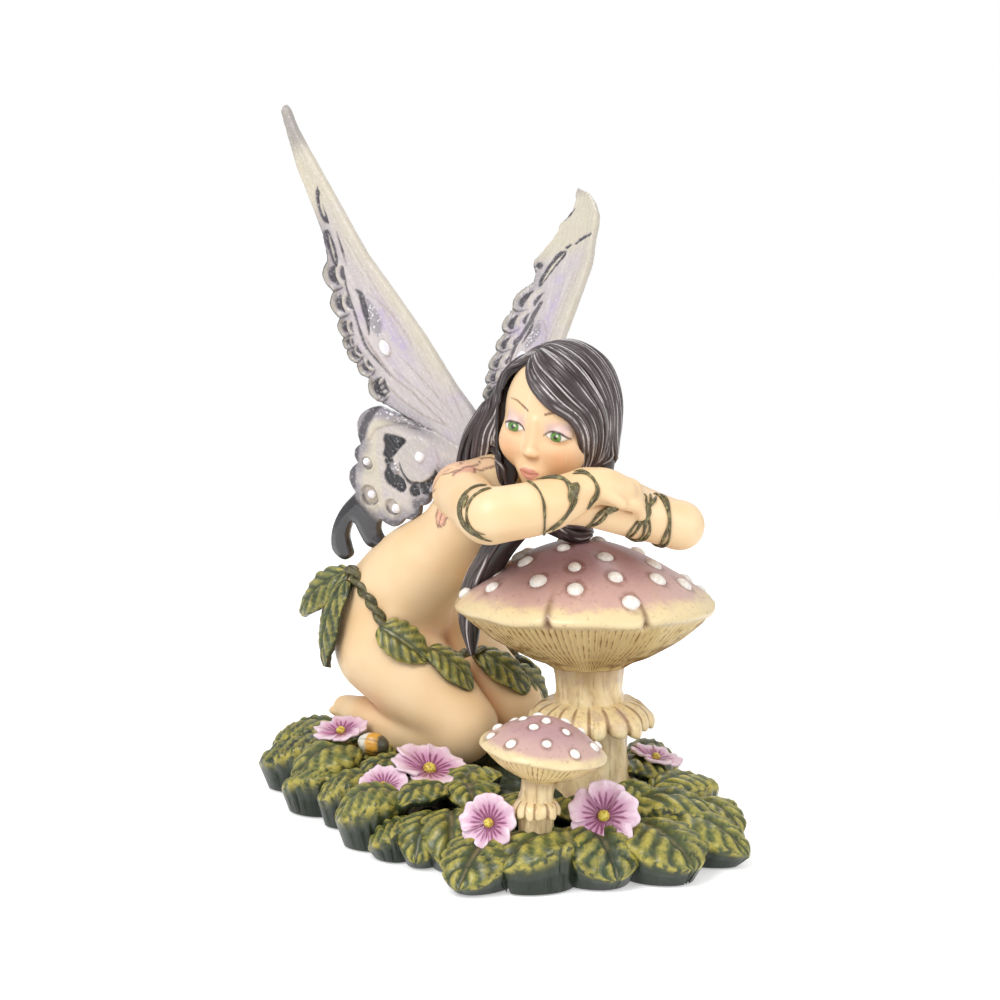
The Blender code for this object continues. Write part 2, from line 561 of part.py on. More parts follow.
def figure():
    made = []
    limbs = {
        "torso": TORSO, "shoulders": SHOULDERS, "neck": NECK, "near_thigh": NEAR_THIGH,
        "near_shin": NEAR_SHIN,
        "near_foot": NEAR_FOOT, "far_thigh": FAR_THIGH, "far_shin": FAR_SHIN, "far_foot": FAR_FOOT,
        "near_upper_arm": NEAR_UPPER_ARM, "near_forearm": NEAR_FOREARM, "near_hand": NEAR_HAND,
        "far_upper_arm": FAR_UPPER_ARM, "far_forearm": FAR_FOREARM, "far_hand": FAR_HAND,
    }
    for name, joints in limbs.items():
        made += limb(name, joints)
    centre, radii = HIP_BALL
    made.append(ball("hips", on_bed(centre), [radius * MM for radius in radii]))
    return made


def head():
    centre = on_bed(HEAD_CENTRE)
    turn = HEAD_TURN.to_matrix()

    def in_head(name, shape):
        place, radii = shape
        return ball(name, centre + turn @ (Vector(place) * MM), [radius * MM for radius in radii], HEAD_TURN)

    made = [
        in_head("skull", ((0, 0, 0), HEAD_RADII)), in_head("hair_cap", (HAIR_SET_BACK, HAIR_RADII)),
        in_head("nose", NOSE), in_head("chin", CHIN),
    ]
    for number, lock in enumerate(HAIR_LOCKS):
        made += limb(f"lock_{number}", lock)
    return made


def garland():
    made = limb("stalk", GARLAND_STALK) + limb("back_stalk", GARLAND_BACK_STALK)
    for number, (base, tip, width, up) in enumerate(GARLAND_LEAVES):
        made.append(
            leaf(
                f"garland_leaf_{number}", on_bed(base), on_bed(tip), width * MM, Vector(up), GARLAND_LEAF_THICKNESS,
                arch=GARLAND_LEAF_ARCH,
            )
        )
    return made


def scalloped(notches):
    """The notches joined by outward arcs, for the edge of a wing."""
    points = []
    for start, end in zip(notches, notches[1:]):
        a, b = Vector(start), Vector(end)
        out = Vector((b.y - a.y, a.x - b.x))
        for step in range(SCALLOP_STEPS):
            share = step / SCALLOP_STEPS
            points.append(tuple(a.lerp(b, share) + out * (SCALLOP_BULGE * 4 * share * (1 - share))))
    points.append(tuple(notches[-1]))
    return points


def wing_frame(wing):
    span = Vector(wing["span"]).normalized()
    face = span.cross(Vector(wing["chord"])).normalized()
    chord = face.cross(span)
    matrix = Matrix((span, chord, face)).transposed().to_4x4()
    matrix.translation = on_bed(wing["root"])
    return matrix


def plate(name, outline, thickness, frame):
    curve = bpy.data.curves.new(name, "CURVE")
    curve.dimensions = "2D"
    curve.fill_mode = "BOTH"
    curve.extrude = thickness / 2
    spline = curve.splines.new("POLY")
    spline.points.add(len(outline) - 1)
    spline.use_cyclic_u = True
    for point, (x, y) in zip(spline.points, outline):
        point.co = (x * MM, y * MM, 0, 1)
    obj = bpy.data.objects.new(name, curve)
    bpy.context.scene.collection.objects.link(obj)
    obj.matrix_world = frame
    return as_mesh(obj)


def join(target, other, operation="UNION"):
    modifier = target.modifiers.new(other.name, "BOOLEAN")
    modifier.operation = operation
    modifier.solver = "EXACT"
    modifier.object = other


def wing(name, shape):
    """Fore and hind part as plates, and the peg that goes into the back."""
    frame = wing_frame(shape)
    leading, tip, notches = shape["fore"]
    fore = [*leading, *tip, *scalloped(notches), *FORE_ROOT]
    hind = [*HIND_TOP, *scalloped(HIND_NOTCHES), *HIND_TAILS, *scalloped(HIND_LOWER_NOTCHES)[1:], *HIND_ROOT]
    made = plate(name, fore, FORE_THICKNESS, frame)
    turn = Matrix.Rotation(math.radians(shape["hind_turn"]), 4, "X")
    turn = frame @ turn @ Matrix.Translation((0, 0, HIND_STEP))
    hind_plate = plate(name + "_hind", hind, HIND_THICKNESS, turn)
    path = [frame @ PEG_START, *[on_bed(point) for point in shape["peg"]]]
    peg = tube(name + "_peg", path, [PEG_START_RADIUS, PEG_RADIUS, PEG_RADIUS])
    join(made, hind_plate)
    join(made, peg)
    made = as_mesh(made)
    for used in (hind_plate, peg):
        bpy.data.objects.remove(used)
    return made


def socket_cutter(made, collection):
    """The wing grown by the clearance, which leaves the socket and the slot round its root."""
    cutter = bpy.data.objects.new(made.name + "_cutter", made.data.copy())
    collection.objects.link(cutter)
    grow = cutter.modifiers.new("clearance", "DISPLACE")
    grow.strength = CUTTER_GROWTH
    grow.mid_level = 0.0
    skin = cutter.modifiers.new("one_skin", "REMESH")
    skin.mode = "VOXEL"
    skin.voxel_size = CUTTER_VOXEL
    fewer = cutter.modifiers.new("fewer_faces", "DECIMATE")
    fewer.ratio = CUTTER_FACE_SHARE
    cutter.hide_render = True
    cutter.display_type = "WIRE"
    return cutter


def stone(name, wing_name, place, radii, height, on_hind):
    frame = wing_frame(WINGS[wing_name])
    face = FORE_THICKNESS / 2
    if on_hind:
        face = HIND_STEP + HIND_THICKNESS / 2
    bm = bmesh.new()
    bmesh.ops.create_uvsphere(bm, u_segments=10, v_segments=6, radius=1.0)
    everything = list(bm.verts) + list(bm.edges) + list(bm.faces)
    bmesh.ops.bisect_plane(bm, geom=everything, plane_co=(0, 0, 0), plane_no=(0, 0, -1), clear_outer=True)
    rim = [edge for edge in bm.edges if edge.is_boundary]
    bmesh.ops.contextual_create(bm, geom=rim)
    bmesh.ops.scale(bm, vec=Vector((radii[0] * MM, radii[1] * MM, height * MM)), verts=bm.verts)
    bmesh.ops.recalc_face_normals(bm, faces=bm.faces)
    made = object_from(bm, name)
    made.matrix_world = frame @ Matrix.Translation((place[0] * MM, place[1] * MM, face + STONE_GLUE))
    return made


def merged(name, parts):
    """All parts as one mesh object; the remesh that follows makes one skin of them."""
    bm = bmesh.new()
    for part in parts:
        bm.from_mesh(part.data)
        bpy.data.objects.remove(part)
    return object_from(bm, name)


def largest_only(bm):
    """Drop any bubble or crumb that the remesh leaves beside the main skin."""
    left = set(bm.verts)
    groups = []
    while left:
        seed = left.pop()
        group = [seed]
        queue = [seed]
        while queue:
            for edge in queue.pop().link_edges:
                for vertex in edge.verts:
                    if vertex in left:
                        left.remove(vertex)
                        group.append(vertex)
                        queue.append(vertex)
        groups.append(group)
    groups.sort(key=len)
    for group in groups[:-1]:
        bmesh.ops.delete(bm, geom=group, context="VERTS")


def one_skin(obj):
    remesh = obj.modifiers.new("one_skin", "REMESH")
    remesh.mode = "VOXEL"
    remesh.voxel_size = CASTING_VOXEL
    smooth = obj.modifiers.new("soften", "SMOOTH")
    smooth.iterations = CASTING_SMOOTHING
    smooth.factor = CASTING_SOFTNESS
    made = as_mesh(obj)
    made.data.calc_loop_triangles()
    thin = made.modifiers.new("fewer_faces", "DECIMATE")
    thin.ratio = CASTING_TRIANGLES / len(made.data.loop_triangles)
    made = as_mesh(made)
    bm = bmesh.new()
    bm.from_mesh(made.data)
    everything = list(bm.verts) + list(bm.edges) + list(bm.faces)
    bmesh.ops.bisect_plane(bm, geom=everything, plane_co=(0, 0, 0), plane_no=(0, 0, -1), clear_outer=True)
    rim = [edge for edge in bm.edges if edge.is_boundary]
    bmesh.ops.holes_fill(bm, edges=rim, sides=0)
    largest_only(bm)
    bm.to_mesh(made.data)
    bm.free()
    return made


def place(obj, name, collection, finish):
    obj.name = name
    obj.data.name = name
    for owner in list(obj.users_collection):
        owner.objects.unlink(obj)
    collection.objects.link(obj)
    obj.data.materials.clear()
    obj.data.materials.append(finish)
    obj.data.shade_smooth()
    obj.data.set_sharp_from_angle(angle=SHARP_ANGLE)


def build():
    clear_scene()
    parts = new_collection("fairy_figurine")
    cutters = new_collection("cutters", shown=False)
    resin = material("painted_resin", (0.87, 0.66, 0.46), 0.45)
    pearl = material("pearl_wing", (0.72, 0.69, 0.70), 0.35)
    glass = material("clear_stone", (0.95, 0.95, 0.98), 0.05)

    pieces = [bed_slab(), *bed_leaves(), *toadstools(), *figure(), *head(), *garland()]
    for number, (centre, lean, radius) in enumerate(FLOWERS):
        pieces += flower(f"flower_{number}", on_bed(centre), lean, radius * MM)
    centre, radii = BUD
    pieces.append(ball("bud", on_bed(centre), [radius * MM for radius in radii]))
    casting = one_skin(merged("figurine_casting", pieces))

    for name, shape in WINGS.items():
        made = wing(name, shape)
        place(made, name, parts, pearl)
        join(casting, socket_cutter(made, cutters), "DIFFERENCE")
    place(casting, "figurine_casting", parts, resin)

    for name, (wing_name, spot, radii, height, on_hind) in STONES.items():
        place(stone(name, wing_name, spot, radii, height, on_hind), name, parts, glass)


build()
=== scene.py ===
import copy
import math

import bpy
import numpy as np
import openvdb
from mathutils import Euler, Matrix, Vector


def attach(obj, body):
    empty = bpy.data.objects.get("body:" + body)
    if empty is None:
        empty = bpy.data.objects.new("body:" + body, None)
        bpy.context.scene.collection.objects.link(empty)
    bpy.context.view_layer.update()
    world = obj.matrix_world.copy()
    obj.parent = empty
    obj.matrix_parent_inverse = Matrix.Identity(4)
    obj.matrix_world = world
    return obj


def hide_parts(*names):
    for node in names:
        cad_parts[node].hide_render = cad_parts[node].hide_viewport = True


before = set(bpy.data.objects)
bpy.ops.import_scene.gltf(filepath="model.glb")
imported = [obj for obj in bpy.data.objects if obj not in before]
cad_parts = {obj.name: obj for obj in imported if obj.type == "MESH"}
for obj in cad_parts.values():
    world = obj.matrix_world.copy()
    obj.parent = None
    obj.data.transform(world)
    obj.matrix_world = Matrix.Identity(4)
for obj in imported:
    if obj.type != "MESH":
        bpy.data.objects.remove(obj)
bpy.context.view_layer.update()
mm = 0.001
bedTop = 8.0


# A hex colour as linear numbers for a shader.
def ink(code):
    made = []
    for i in (1, 3, 5):
        part = int(code[i : i + 2], 16) / 255
        made.append(part / 12.92 if part <= 0.04045 else ((part + 0.055) / 1.055) ** 2.4)
    return (*made, 1.0)


# Smooth 0 to 1 as the values go from low to high.
def ramp(low, high, values):
    share = np.clip((values - low) / (high - low), 0, 1)
    return share * share * (3 - 2 * share)


def unit(vector):
    vector = np.asarray(vector, float)
    return vector / np.linalg.norm(vector)


# Points in mm whose heights count from the bed's top, as points above the floor.
def onBed(points):
    lifted = np.array(points, float)
    lifted[..., 2] += bedTop
    return lifted


# A rounded path through the knots; each row may hold more than a place, such as a radius.
def smoothPath(knots, steps=5):
    knots = np.asarray(knots, float)
    full = np.vstack([2 * knots[0] - knots[1], knots, 2 * knots[-1] - knots[-2]])
    rows = []
    for i in range(1, len(full) - 2):
        before, start, end, after = full[i - 1 : i + 3]
        for t in np.arange(steps) / steps:
            rows.append(0.5 * (2 * start + (end - before) * t
                               + (2 * before - 5 * start + 4 * end - after) * t**2
                               + (3 * start - before - 3 * end + after) * t**3))
    rows.append(knots[-1])
    return np.array(rows)


def smoothMin(a, b, blend):
    h = np.clip(0.5 + 0.5 * (b - a) / blend, 0, 1)
    return b + (a - b) * h - blend * h * (1 - h)


# Distance from each point to a tapering stroke; a knot is its place and then its radius.
def strokeDistance(points, knots):
    knots = np.asarray(knots, float)
    best = None
    for start, end in zip(knots, knots[1:]):
        axis = end[:-1] - start[:-1]
        size = max(float(axis @ axis), 1e-9)
        t = np.clip(((points - start[:-1]) @ axis) / size, 0, 1)
        gap = (np.linalg.norm(points - start[:-1] - t[..., None] * axis, axis=-1)
               - (start[-1] + (end[-1] - start[-1]) * t))
        best = gap if best is None else np.minimum(best, gap)
    return best


# Signed distance in the plane to a closed outline, negative inside.
def outlineDistance(points, outline):
    outline = np.asarray(outline, float)
    best = np.full(points.shape[:-1], 1e9)
    inside = np.zeros(points.shape[:-1], bool)
    for start, end in zip(outline, np.roll(outline, -1, axis=0)):
        axis = end - start
        t = np.clip(((points - start) @ axis) / max(float(axis @ axis), 1e-9), 0, 1)
        best = np.minimum(best, np.linalg.norm(points - start - t[..., None] * axis, axis=-1))
        if start[1] != end[1]:
            above = (start[1] > points[..., 1]) != (end[1] > points[..., 1])
            cross = (points[..., 1] - start[1]) / (end[1] - start[1]) * axis[0] + start[0]
            inside ^= above & (points[..., 0] < cross)
    return np.where(inside, -best, best)


# A signed distance field on a grid in mm, from which one closed skin is drawn.
class Field:
    def __init__(self, low, high, cell, far=6.0):
        self.low = np.array(low, float)
        self.cell = cell
        self.counts = np.ceil((np.array(high) - self.low) / cell).astype(int) + 1
        self.values = np.full(self.counts, far, np.float32)

    def window(self, low, high):
        first = np.clip(np.floor((np.asarray(low) - self.low) / self.cell).astype(int), 0, self.counts)
        last = np.clip(np.ceil((np.asarray(high) - self.low) / self.cell).astype(int) + 1, 0, self.counts)
        where = tuple(slice(a, b) for a, b in zip(first, last))
        axes = [self.low[i] + self.cell * np.arange(first[i], last[i]) for i in range(3)]
        return where, np.stack(np.meshgrid(*axes, indexing="ij"), -1)

    def all(self):
        return self.window(self.low, self.low + self.cell * self.counts)

    def add(self, shape, low, high, blend=0.0):
        where, points = self.window(low, high)
        here = self.values[where]
        new = shape(points).astype(np.float32)
        self.values[where] = smoothMin(here, new, blend) if blend else np.minimum(here, new)

    def cut(self, shape, low, high, blend=0.3):
        where, points = self.window(low, high)
        here = self.values[where]
        self.values[where] = -smoothMin(-here, shape(points).astype(np.float32), blend)

    def limb(self, knots, blend=2.0, steps=4):
        path = smoothPath(knots, steps) if len(knots) > 2 else np.asarray(knots, float)
        edge = path[:, 3:4] + blend + 2
        self.add(lambda points: strokeDistance(points, path), (path[:, :3] - edge).min(0),
                 (path[:, :3] + edge).max(0), blend)

    def ball(self, centre, radii, blend=2.0, turn=None, cut=False):
        centre = np.asarray(centre, float)
        radii = np.asarray(radii, float)
        reach = radii.max() + blend + 2

        def shape(points):
            local = points - centre
            if turn is not None:
                local = local @ turn
            size = np.linalg.norm(local / radii, axis=-1)
            slope = np.linalg.norm(local / radii**2, axis=-1)
            return size * (size - 1) / np.maximum(slope, 1e-6)

        (self.cut if cut else self.add)(shape, centre - reach, centre + reach, blend)

    # A box average over the cells nearby.
    def blur(self, values, width):
        blurred = values.copy()
        for axis in range(3):
            padded = np.concatenate([np.repeat(np.take(blurred, [0], axis), width + 1, axis), blurred,
                                     np.repeat(np.take(blurred, [-1], axis), width, axis)], axis)
            total = np.cumsum(padded, axis, dtype=np.float64)
            count = blurred.shape[axis]
            upper = np.take(total, np.arange(2 * width + 1, 2 * width + 1 + count), axis)
            lower = np.take(total, np.arange(count), axis)
            blurred = ((upper - lower) / (2 * width + 1)).astype(np.float32)
        return blurred

    def soften(self, width):
        self.values = self.blur(np.clip(self.values, -6, 6), width)

    # How deep in a crease each cell is, from the difference to the blurred field.
    def hollow(self, reach):
        kept = np.clip(self.values, -reach, reach)
        return (kept - self.blur(kept, max(1, int(round(reach / self.cell))))) / reach

    # Values of a grid at points, from the nearest eight cells.
    def sample(self, values, points):
        place = (points - self.low) / self.cell
        base = np.clip(np.floor(place).astype(int), 0, self.counts - 2)
        share = place - base
        total = np.zeros(len(points))
        for corner in np.ndindex(2, 2, 2):
            weight = np.prod(np.where(corner, share, 1 - share), axis=1)
            index = base + corner
            total += weight * values[index[:, 0], index[:, 1], index[:, 2]]
        return total

    # Distance to the skin at each point, and the way straight out of it.
    def nearby(self, points):
        here = self.sample(self.values, points)
        slope = [self.sample(self.values, points + step) - self.sample(self.values, points - step)
                 for step in np.eye(3) * self.cell]
        slope = np.stack(slope, -1)
        return here, slope / np.maximum(np.linalg.norm(slope, axis=1, keepdims=True), 1e-6)

    # Points moved to a height above the skin where they are no farther from it than the reach.
    def settle(self, points, height, reach=4.0):
        points = np.array(points, float)
        start = points.copy()
        for step in range(5):
            here, out = self.nearby(points)
            points -= out * (here - height)[:, None] * 0.9
        moved = np.linalg.norm(points - start, axis=1, keepdims=True)
        share = np.minimum(1, reach / np.maximum(moved, 1e-6))
        return start + (points - start) * share

    def skin(self):
        grid = openvdb.FloatGrid(6.0)
        grid.copyFromArray(np.ascontiguousarray(np.clip(self.values, -6, 6)))
        points, quads = grid.convertToQuads(0.0)
        points = self.low + points.astype(float) * self.cell
        quads = quads.astype(np.int64)
        corner = points[quads]
        volume = np.einsum("ij,ij->i", corner[:, 0], np.cross(corner[:, 1], corner[:, 2]))
        volume = volume + np.einsum("ij,ij->i", corner[:, 0], np.cross(corner[:, 2], corner[:, 3]))
        return points, quads if volume.sum() > 0 else quads[:, ::-1]


# Faces of rows of corners round an axis, closed by one last corner above them and one below.
def rounds(rows, sides):
    index = np.arange(rows * sides).reshape(rows, sides)
    after = np.roll(index, -1, axis=1)
    faces = np.stack([index[:-1], index[1:], after[1:], after[:-1]], -1).reshape(-1, 4)
    top, bottom = rows * sides, rows * sides + 1
    upper = np.stack([np.full(sides, top), index[0], after[0], after[0]], -1)
    lower = np.stack([np.full(sides, bottom), after[-1], index[-1], index[-1]], -1)
    return np.concatenate([faces, upper, lower])


# Gathers the corners, faces and masks of one piece, in mm.
class Shell:
    def __init__(self):
        self.points = []
        self.faces = []
        self.masks = []
        self.count = 0

    def add(self, points, faces, **masks):
        points = np.asarray(points, float).reshape(-1, 3)
        self.points.append(points)
        self.faces.append(np.asarray(faces, np.int64) + self.count)
        self.masks.append({name: np.broadcast_to(values, len(points)) for name, values in masks.items()})
        self.count += len(points)

    # A closed plate from two grids of points with the same rows; masks named in under are 0 below.
    def plate(self, top, bottom, under=(), **masks):
        rows, columns = top.shape[:2]
        index = np.arange(rows * columns).reshape(rows, columns)
        upper = np.stack([index[:-1, :-1], index[1:, :-1], index[1:, 1:], index[:-1, 1:]], -1)
        upper = upper.reshape(-1, 4)
        lower = upper[:, ::-1] + rows * columns
        rim = np.concatenate([index[0, :], index[1:, -1], index[-1, -2::-1], index[-2:0:-1, 0]])
        after = np.roll(rim, -1)
        side = np.stack([rim, after, after + rows * columns, rim + rows * columns], -1)
        doubled = {name: np.concatenate([values.reshape(-1), values.reshape(-1) * (name not in under)])
                   for name, values in masks.items()}
        self.add(np.concatenate([top.reshape(-1, 3), bottom.reshape(-1, 3)]),
                 np.concatenate([upper, lower, side]), **doubled)

    # A tapering tube along a path whose rows are place and radius; its ends are drawn to a point.
    def tube(self, path, sides=8, flat=1.0, up=(0, 0, 1), **masks):
        path = np.asarray(path, float)
        place = path[:, :3]
        along = np.gradient(place, axis=0)
        along /= np.maximum(np.linalg.norm(along, axis=1, keepdims=True), 1e-9)
        side = np.cross(along, np.asarray(up, float))
        size = np.linalg.norm(side, axis=1, keepdims=True)
        side = np.where(size < 0.05, np.cross(along, (1.0, 0.2, 0.0)), side)
        side /= np.linalg.norm(side, axis=1, keepdims=True)
        lift = np.cross(side, along)
        angle = np.arange(sides) * 2 * math.pi / sides
        ring = (np.cos(angle)[None, :, None] * side[:, None]
                + flat * np.sin(angle)[None, :, None] * lift[:, None])
        ring = place[:, None] + ring * path[:, 3][:, None, None]
        rows = len(path)
        index = np.arange(rows * sides).reshape(rows, sides)
        after = np.roll(index, -1, axis=1)
        faces = np.stack([index[:-1], index[1:], after[1:], after[:-1]], -1).reshape(-1, 4)
        points = ring.reshape(-1, 3)
        spread = {}
        for name, values in masks.items():
            if np.ndim(values) == 2:
                spread[name] = np.ravel(values)
            else:
                spread[name] = np.repeat(np.broadcast_to(values, rows), sides)
        start, end = rows * sides, rows * sides + 1
        startFan = np.stack([after[0], np.full(sides, start), np.full(sides, start), index[0]], -1)
        endFan = np.stack([index[-1], np.full(sides, end), np.full(sides, end), after[-1]], -1)
        caps = np.array([place[0] - along[0] * path[0, 3] * 0.6, place[-1] + along[-1] * path[-1, 3] * 0.6])
        spread = {name: np.concatenate([values, values[[0, -1]]]) for name, values in spread.items()}
        self.add(np.concatenate([points, caps]), np.concatenate([faces, startFan, endFan]), **spread)

    # A closed ball, stretched by its radii and turned.
    def round(self, centre, radii, turn=None, rings=8, sides=12, **masks):
        rows = np.linspace(0, math.pi, rings + 1)[1:-1]
        angle = np.arange(sides) * 2 * math.pi / sides
        body = np.stack([np.outer(np.sin(rows), np.cos(angle)), np.outer(np.sin(rows), np.sin(angle)),
                         np.outer(np.cos(rows), np.ones(sides))], -1).reshape(-1, 3)
        points = np.concatenate([body, [[0, 0, 1], [0, 0, -1]]]) * np.asarray(radii, float)
        if turn is not None:
            points = points @ np.asarray(turn).T
        self.add(points + np.asarray(centre, float), rounds(rings - 1, sides), **masks)

    def piece(self, name, material, nodes=("figurine_casting",)):
        points = np.concatenate(self.points)
        names = sorted({key for masks in self.masks for key in masks})
        mesh = bpy.data.meshes.new(name)
        faces = np.concatenate(self.faces)
        same = (faces[:, 2] == faces[:, 1]) | (faces[:, 3] == faces[:, 2])
        triangle = np.where((faces[:, 2] == faces[:, 1])[:, None], faces[:, [0, 1, 3]], faces[:, [0, 1, 2]])
        loops = np.where(same, 3, 4)
        starts = np.concatenate([[0], np.cumsum(loops)[:-1]])
        flat = np.empty(loops.sum(), np.int32)
        for corner in range(3):
            flat[starts + corner] = np.where(same, triangle[:, corner], faces[:, corner])
        flat[starts[~same] + 3] = faces[~same, 3]
        mesh.vertices.add(len(points))
        mesh.vertices.foreach_set("co", (points * mm).astype(np.float32).ravel())
        mesh.loops.add(len(flat))
        mesh.loops.foreach_set("vertex_index", flat)
        mesh.polygons.add(len(loops))
        mesh.polygons.foreach_set("loop_start", starts.astype(np.int32))
        mesh.update(calc_edges=True)
        mesh.polygons.foreach_set("use_smooth", np.ones(len(loops), bool))
        for key in names:
            values = np.concatenate([masks.get(key, np.zeros(len(part)))
                                     for masks, part in zip(self.masks, self.points)])
            layer = mesh.attributes.new(key, "FLOAT", "POINT")
            layer.data.foreach_set("value", values.astype(np.float32))
        made = bpy.data.objects.new(name, mesh)
        bpy.context.scene.collection.objects.link(made)
        mesh.materials.append(material)
        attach(made, "root")
        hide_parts(*nodes)
        print(name, len(points), "corners", int((loops - 2).sum()), "triangles")
        return made


# A value in a shader tree, so that a sum of sockets reads as a sum.
class Wire:
    def __init__(self, paint, socket):
        self.paint = paint
        self.socket = socket

    def math(self, operation, *others, clamp=False):
        inputs = {i: value for i, value in enumerate((self, *others))}
        return self.paint.node("ShaderNodeMath", {"operation": operation, "use_clamp": clamp}, inputs)

    def __add__(self, other):
        return self.math("ADD", other)

    def __sub__(self, other):
        return self.math("SUBTRACT", other)

    def __mul__(self, other):
        return self.math("MULTIPLY", other)

    def __neg__(self):
        return self * -1.0

    def __radd__(self, other):
        return self + other

    def __rmul__(self, other):
        return self * other

    def __rsub__(self, other):
        return (-self) + other

    def most(self, other):
        return self.math("MAXIMUM", other)

    def between(self, low, high):
        settings = {"interpolation_type": "SMOOTHSTEP"}
        return self.paint.node("ShaderNodeMapRange", settings, {0: self, 1: low, 2: high, 3: 0.0, 4: 1.0})


# One material: its tone starts as a base of two colours of its look, and others are laid over it.
class Paint:
    def __init__(self, name, look=None):
        self.look = look
        self.material = bpy.data.materials.new(name)
        self.material.use_nodes = True
        self.tree = self.material.node_tree
        self.shader = self.tree.nodes["Principled BSDF"]
        self.place = self.node("ShaderNodeTexCoord", out="Object")

    def node(self, kind, settings=None, inputs=None, out=0):
        made = self.tree.nodes.new(kind)
        for key, value in (settings or {}).items():
            setattr(made, key, value)
        for key, value in (inputs or {}).items():
            self.feed(made.inputs[key], value)
        return Wire(self, made.outputs[out])

    def feed(self, socket, value):
        if isinstance(value, Wire):
            self.tree.links.new(value.socket, socket)
        else:
            socket.default_value = value

    def mask(self, name):
        return self.node("ShaderNodeAttribute", {"attribute_name": name}, out="Fac")

    # Noise from 0 to 1 whose spots are about size mm across.
    def noise(self, size, detail=3.0, rough=0.55, warp=0.0, stretch=None):
        place = self.place
        if stretch:
            place = self.node("ShaderNodeVectorMath", {"operation": "MULTIPLY"}, {0: place, 1: stretch})
        inputs = {"Vector": place, "Scale": 1 / (size * mm), "Detail": detail, "Roughness": rough,
                  "Distortion": warp}
        return self.node("ShaderNodeTexNoise", None, inputs)

    def flakes(self, size):
        cells = self.node("ShaderNodeTexVoronoi", None, {"Vector": self.place, "Scale": 1 / (size * mm)},
                          "Color")
        return self.node("ShaderNodeSeparateColor", None, {0: cells})

    def mix(self, share, a, b):
        a, b = (ink(self.look[colour]) if isinstance(colour, str) else colour for colour in (a, b))
        return self.node("ShaderNodeMix", {"data_type": "RGBA"}, {0: share, 6: a, 7: b}, out=2)

    def base(self, share, a, b):
        self.tone = self.mix(share, a, b)

    def over(self, share, colour):
        self.tone = self.mix(share, self.tone, colour)

    # The last values; bump is a height, or the size and detail of a noise, and depth is in mm.
    def finish(self, rough, coat=0.0, coatRough=0.03, bump=None, depth=0.0):
        values = {"Base Color": self.tone, "Roughness": rough, "Coat Weight": coat,
                  "Coat Roughness": coatRough}
        if bump is not None:
            height = bump if isinstance(bump, Wire) else self.noise(*bump)
            inputs = {"Height": height, "Distance": depth * mm, "Strength": 1.0}
            values["Normal"] = self.node("ShaderNodeBump", None, inputs)
        for key, value in values.items():
            self.feed(self.shader.inputs[key], value)
        return self.material


# Skin, as on the painted casting: pale flesh with a warm wash in the folds.
skinLook = {
    "flesh": "#FDDDB0", "blush": "#F0AE7C", "fold": "#A8663E", "shade": "#F6D09E", "roughness": 0.44,
    "coat": 0.15, "cell": 0.54, "box": ((-45, -30, 0), (50, 72, 92)), "petal": "#E39483",
    "petalPale": "#F2B7A4", "petalLine": "#6E3F3C",
}
torso = (
    (-26, 42, 37, 13.4), (-20.5, 37, 46, 11.8), (-11.6, 29, 55.5, 9.8), (-4.6, 21, 65, 9.9),
    (3, 16.5, 70, 8.6),
)
limbs = {
    "torso": (torso, 3.0),
    "shoulders": (((-9, 8.5, 72, 6.4), (5, 16, 73, 7.6), (21, 25, 70, 6.2)), 3.0),
    "nearThigh": (((-28, 37, 27.5, 12.0), (-18.5, 31.5, 19.3, 10.8), (-8.6, 25.5, 11.2, 8.3)), 2.0),
    "nearShin": (((-9.6, 25, 9, 7.4), (-23, 33.5, 8.0, 6.6), (-33.5, 42.5, 9.2, 4.6)), 1.2),
    "nearFoot": (((-33.5, 42.5, 9.2, 4.5), (-36.5, 46, 9.6, 3.9), (-38.6, 48.4, 10.2, 2.8)), 1.5),
    "farThigh": (((-17, 50, 29, 12.0), (-7.5, 46, 20, 10.6), (2.8, 41.5, 12.0, 8.2)), 2.0),
    "farShin": (((2.0, 43.5, 8.5, 7.0), (-12, 52, 7, 6.4), (-25, 60, 8, 4.5)), 1.2),
    "farFoot": (((-25, 60, 8.5, 4.4), (-31, 63, 10, 3.0)), 1.5),
    "nearUpperArm": (((-9, 8, 72, 6.4), (-6.4, -5, 71.5, 6.2), (-3.2, -16.2, 71, 6.4)), 2.0),
    "nearForearm": (
        ((-1.6, -19.4, 71.6, 6.4), (8.6, -18, 73.2, 6.2), (14.6, -16, 75, 5.5), (19.2, -14, 77.2, 4.3)),
        2.0,
    ),
    "farUpperArm": (((21, 24, 70, 6.2), (32.5, 13, 67, 5.4), (41, 2, 65.3, 5.4)), 2.0),
    "farForearm": (
        ((41.7, 0, 65.4, 5.5), (31.1, -4, 68.8, 5.5), (22, -8, 71, 4.6), (16, -9, 71.5, 3.8)), 2.0,
    ),
}


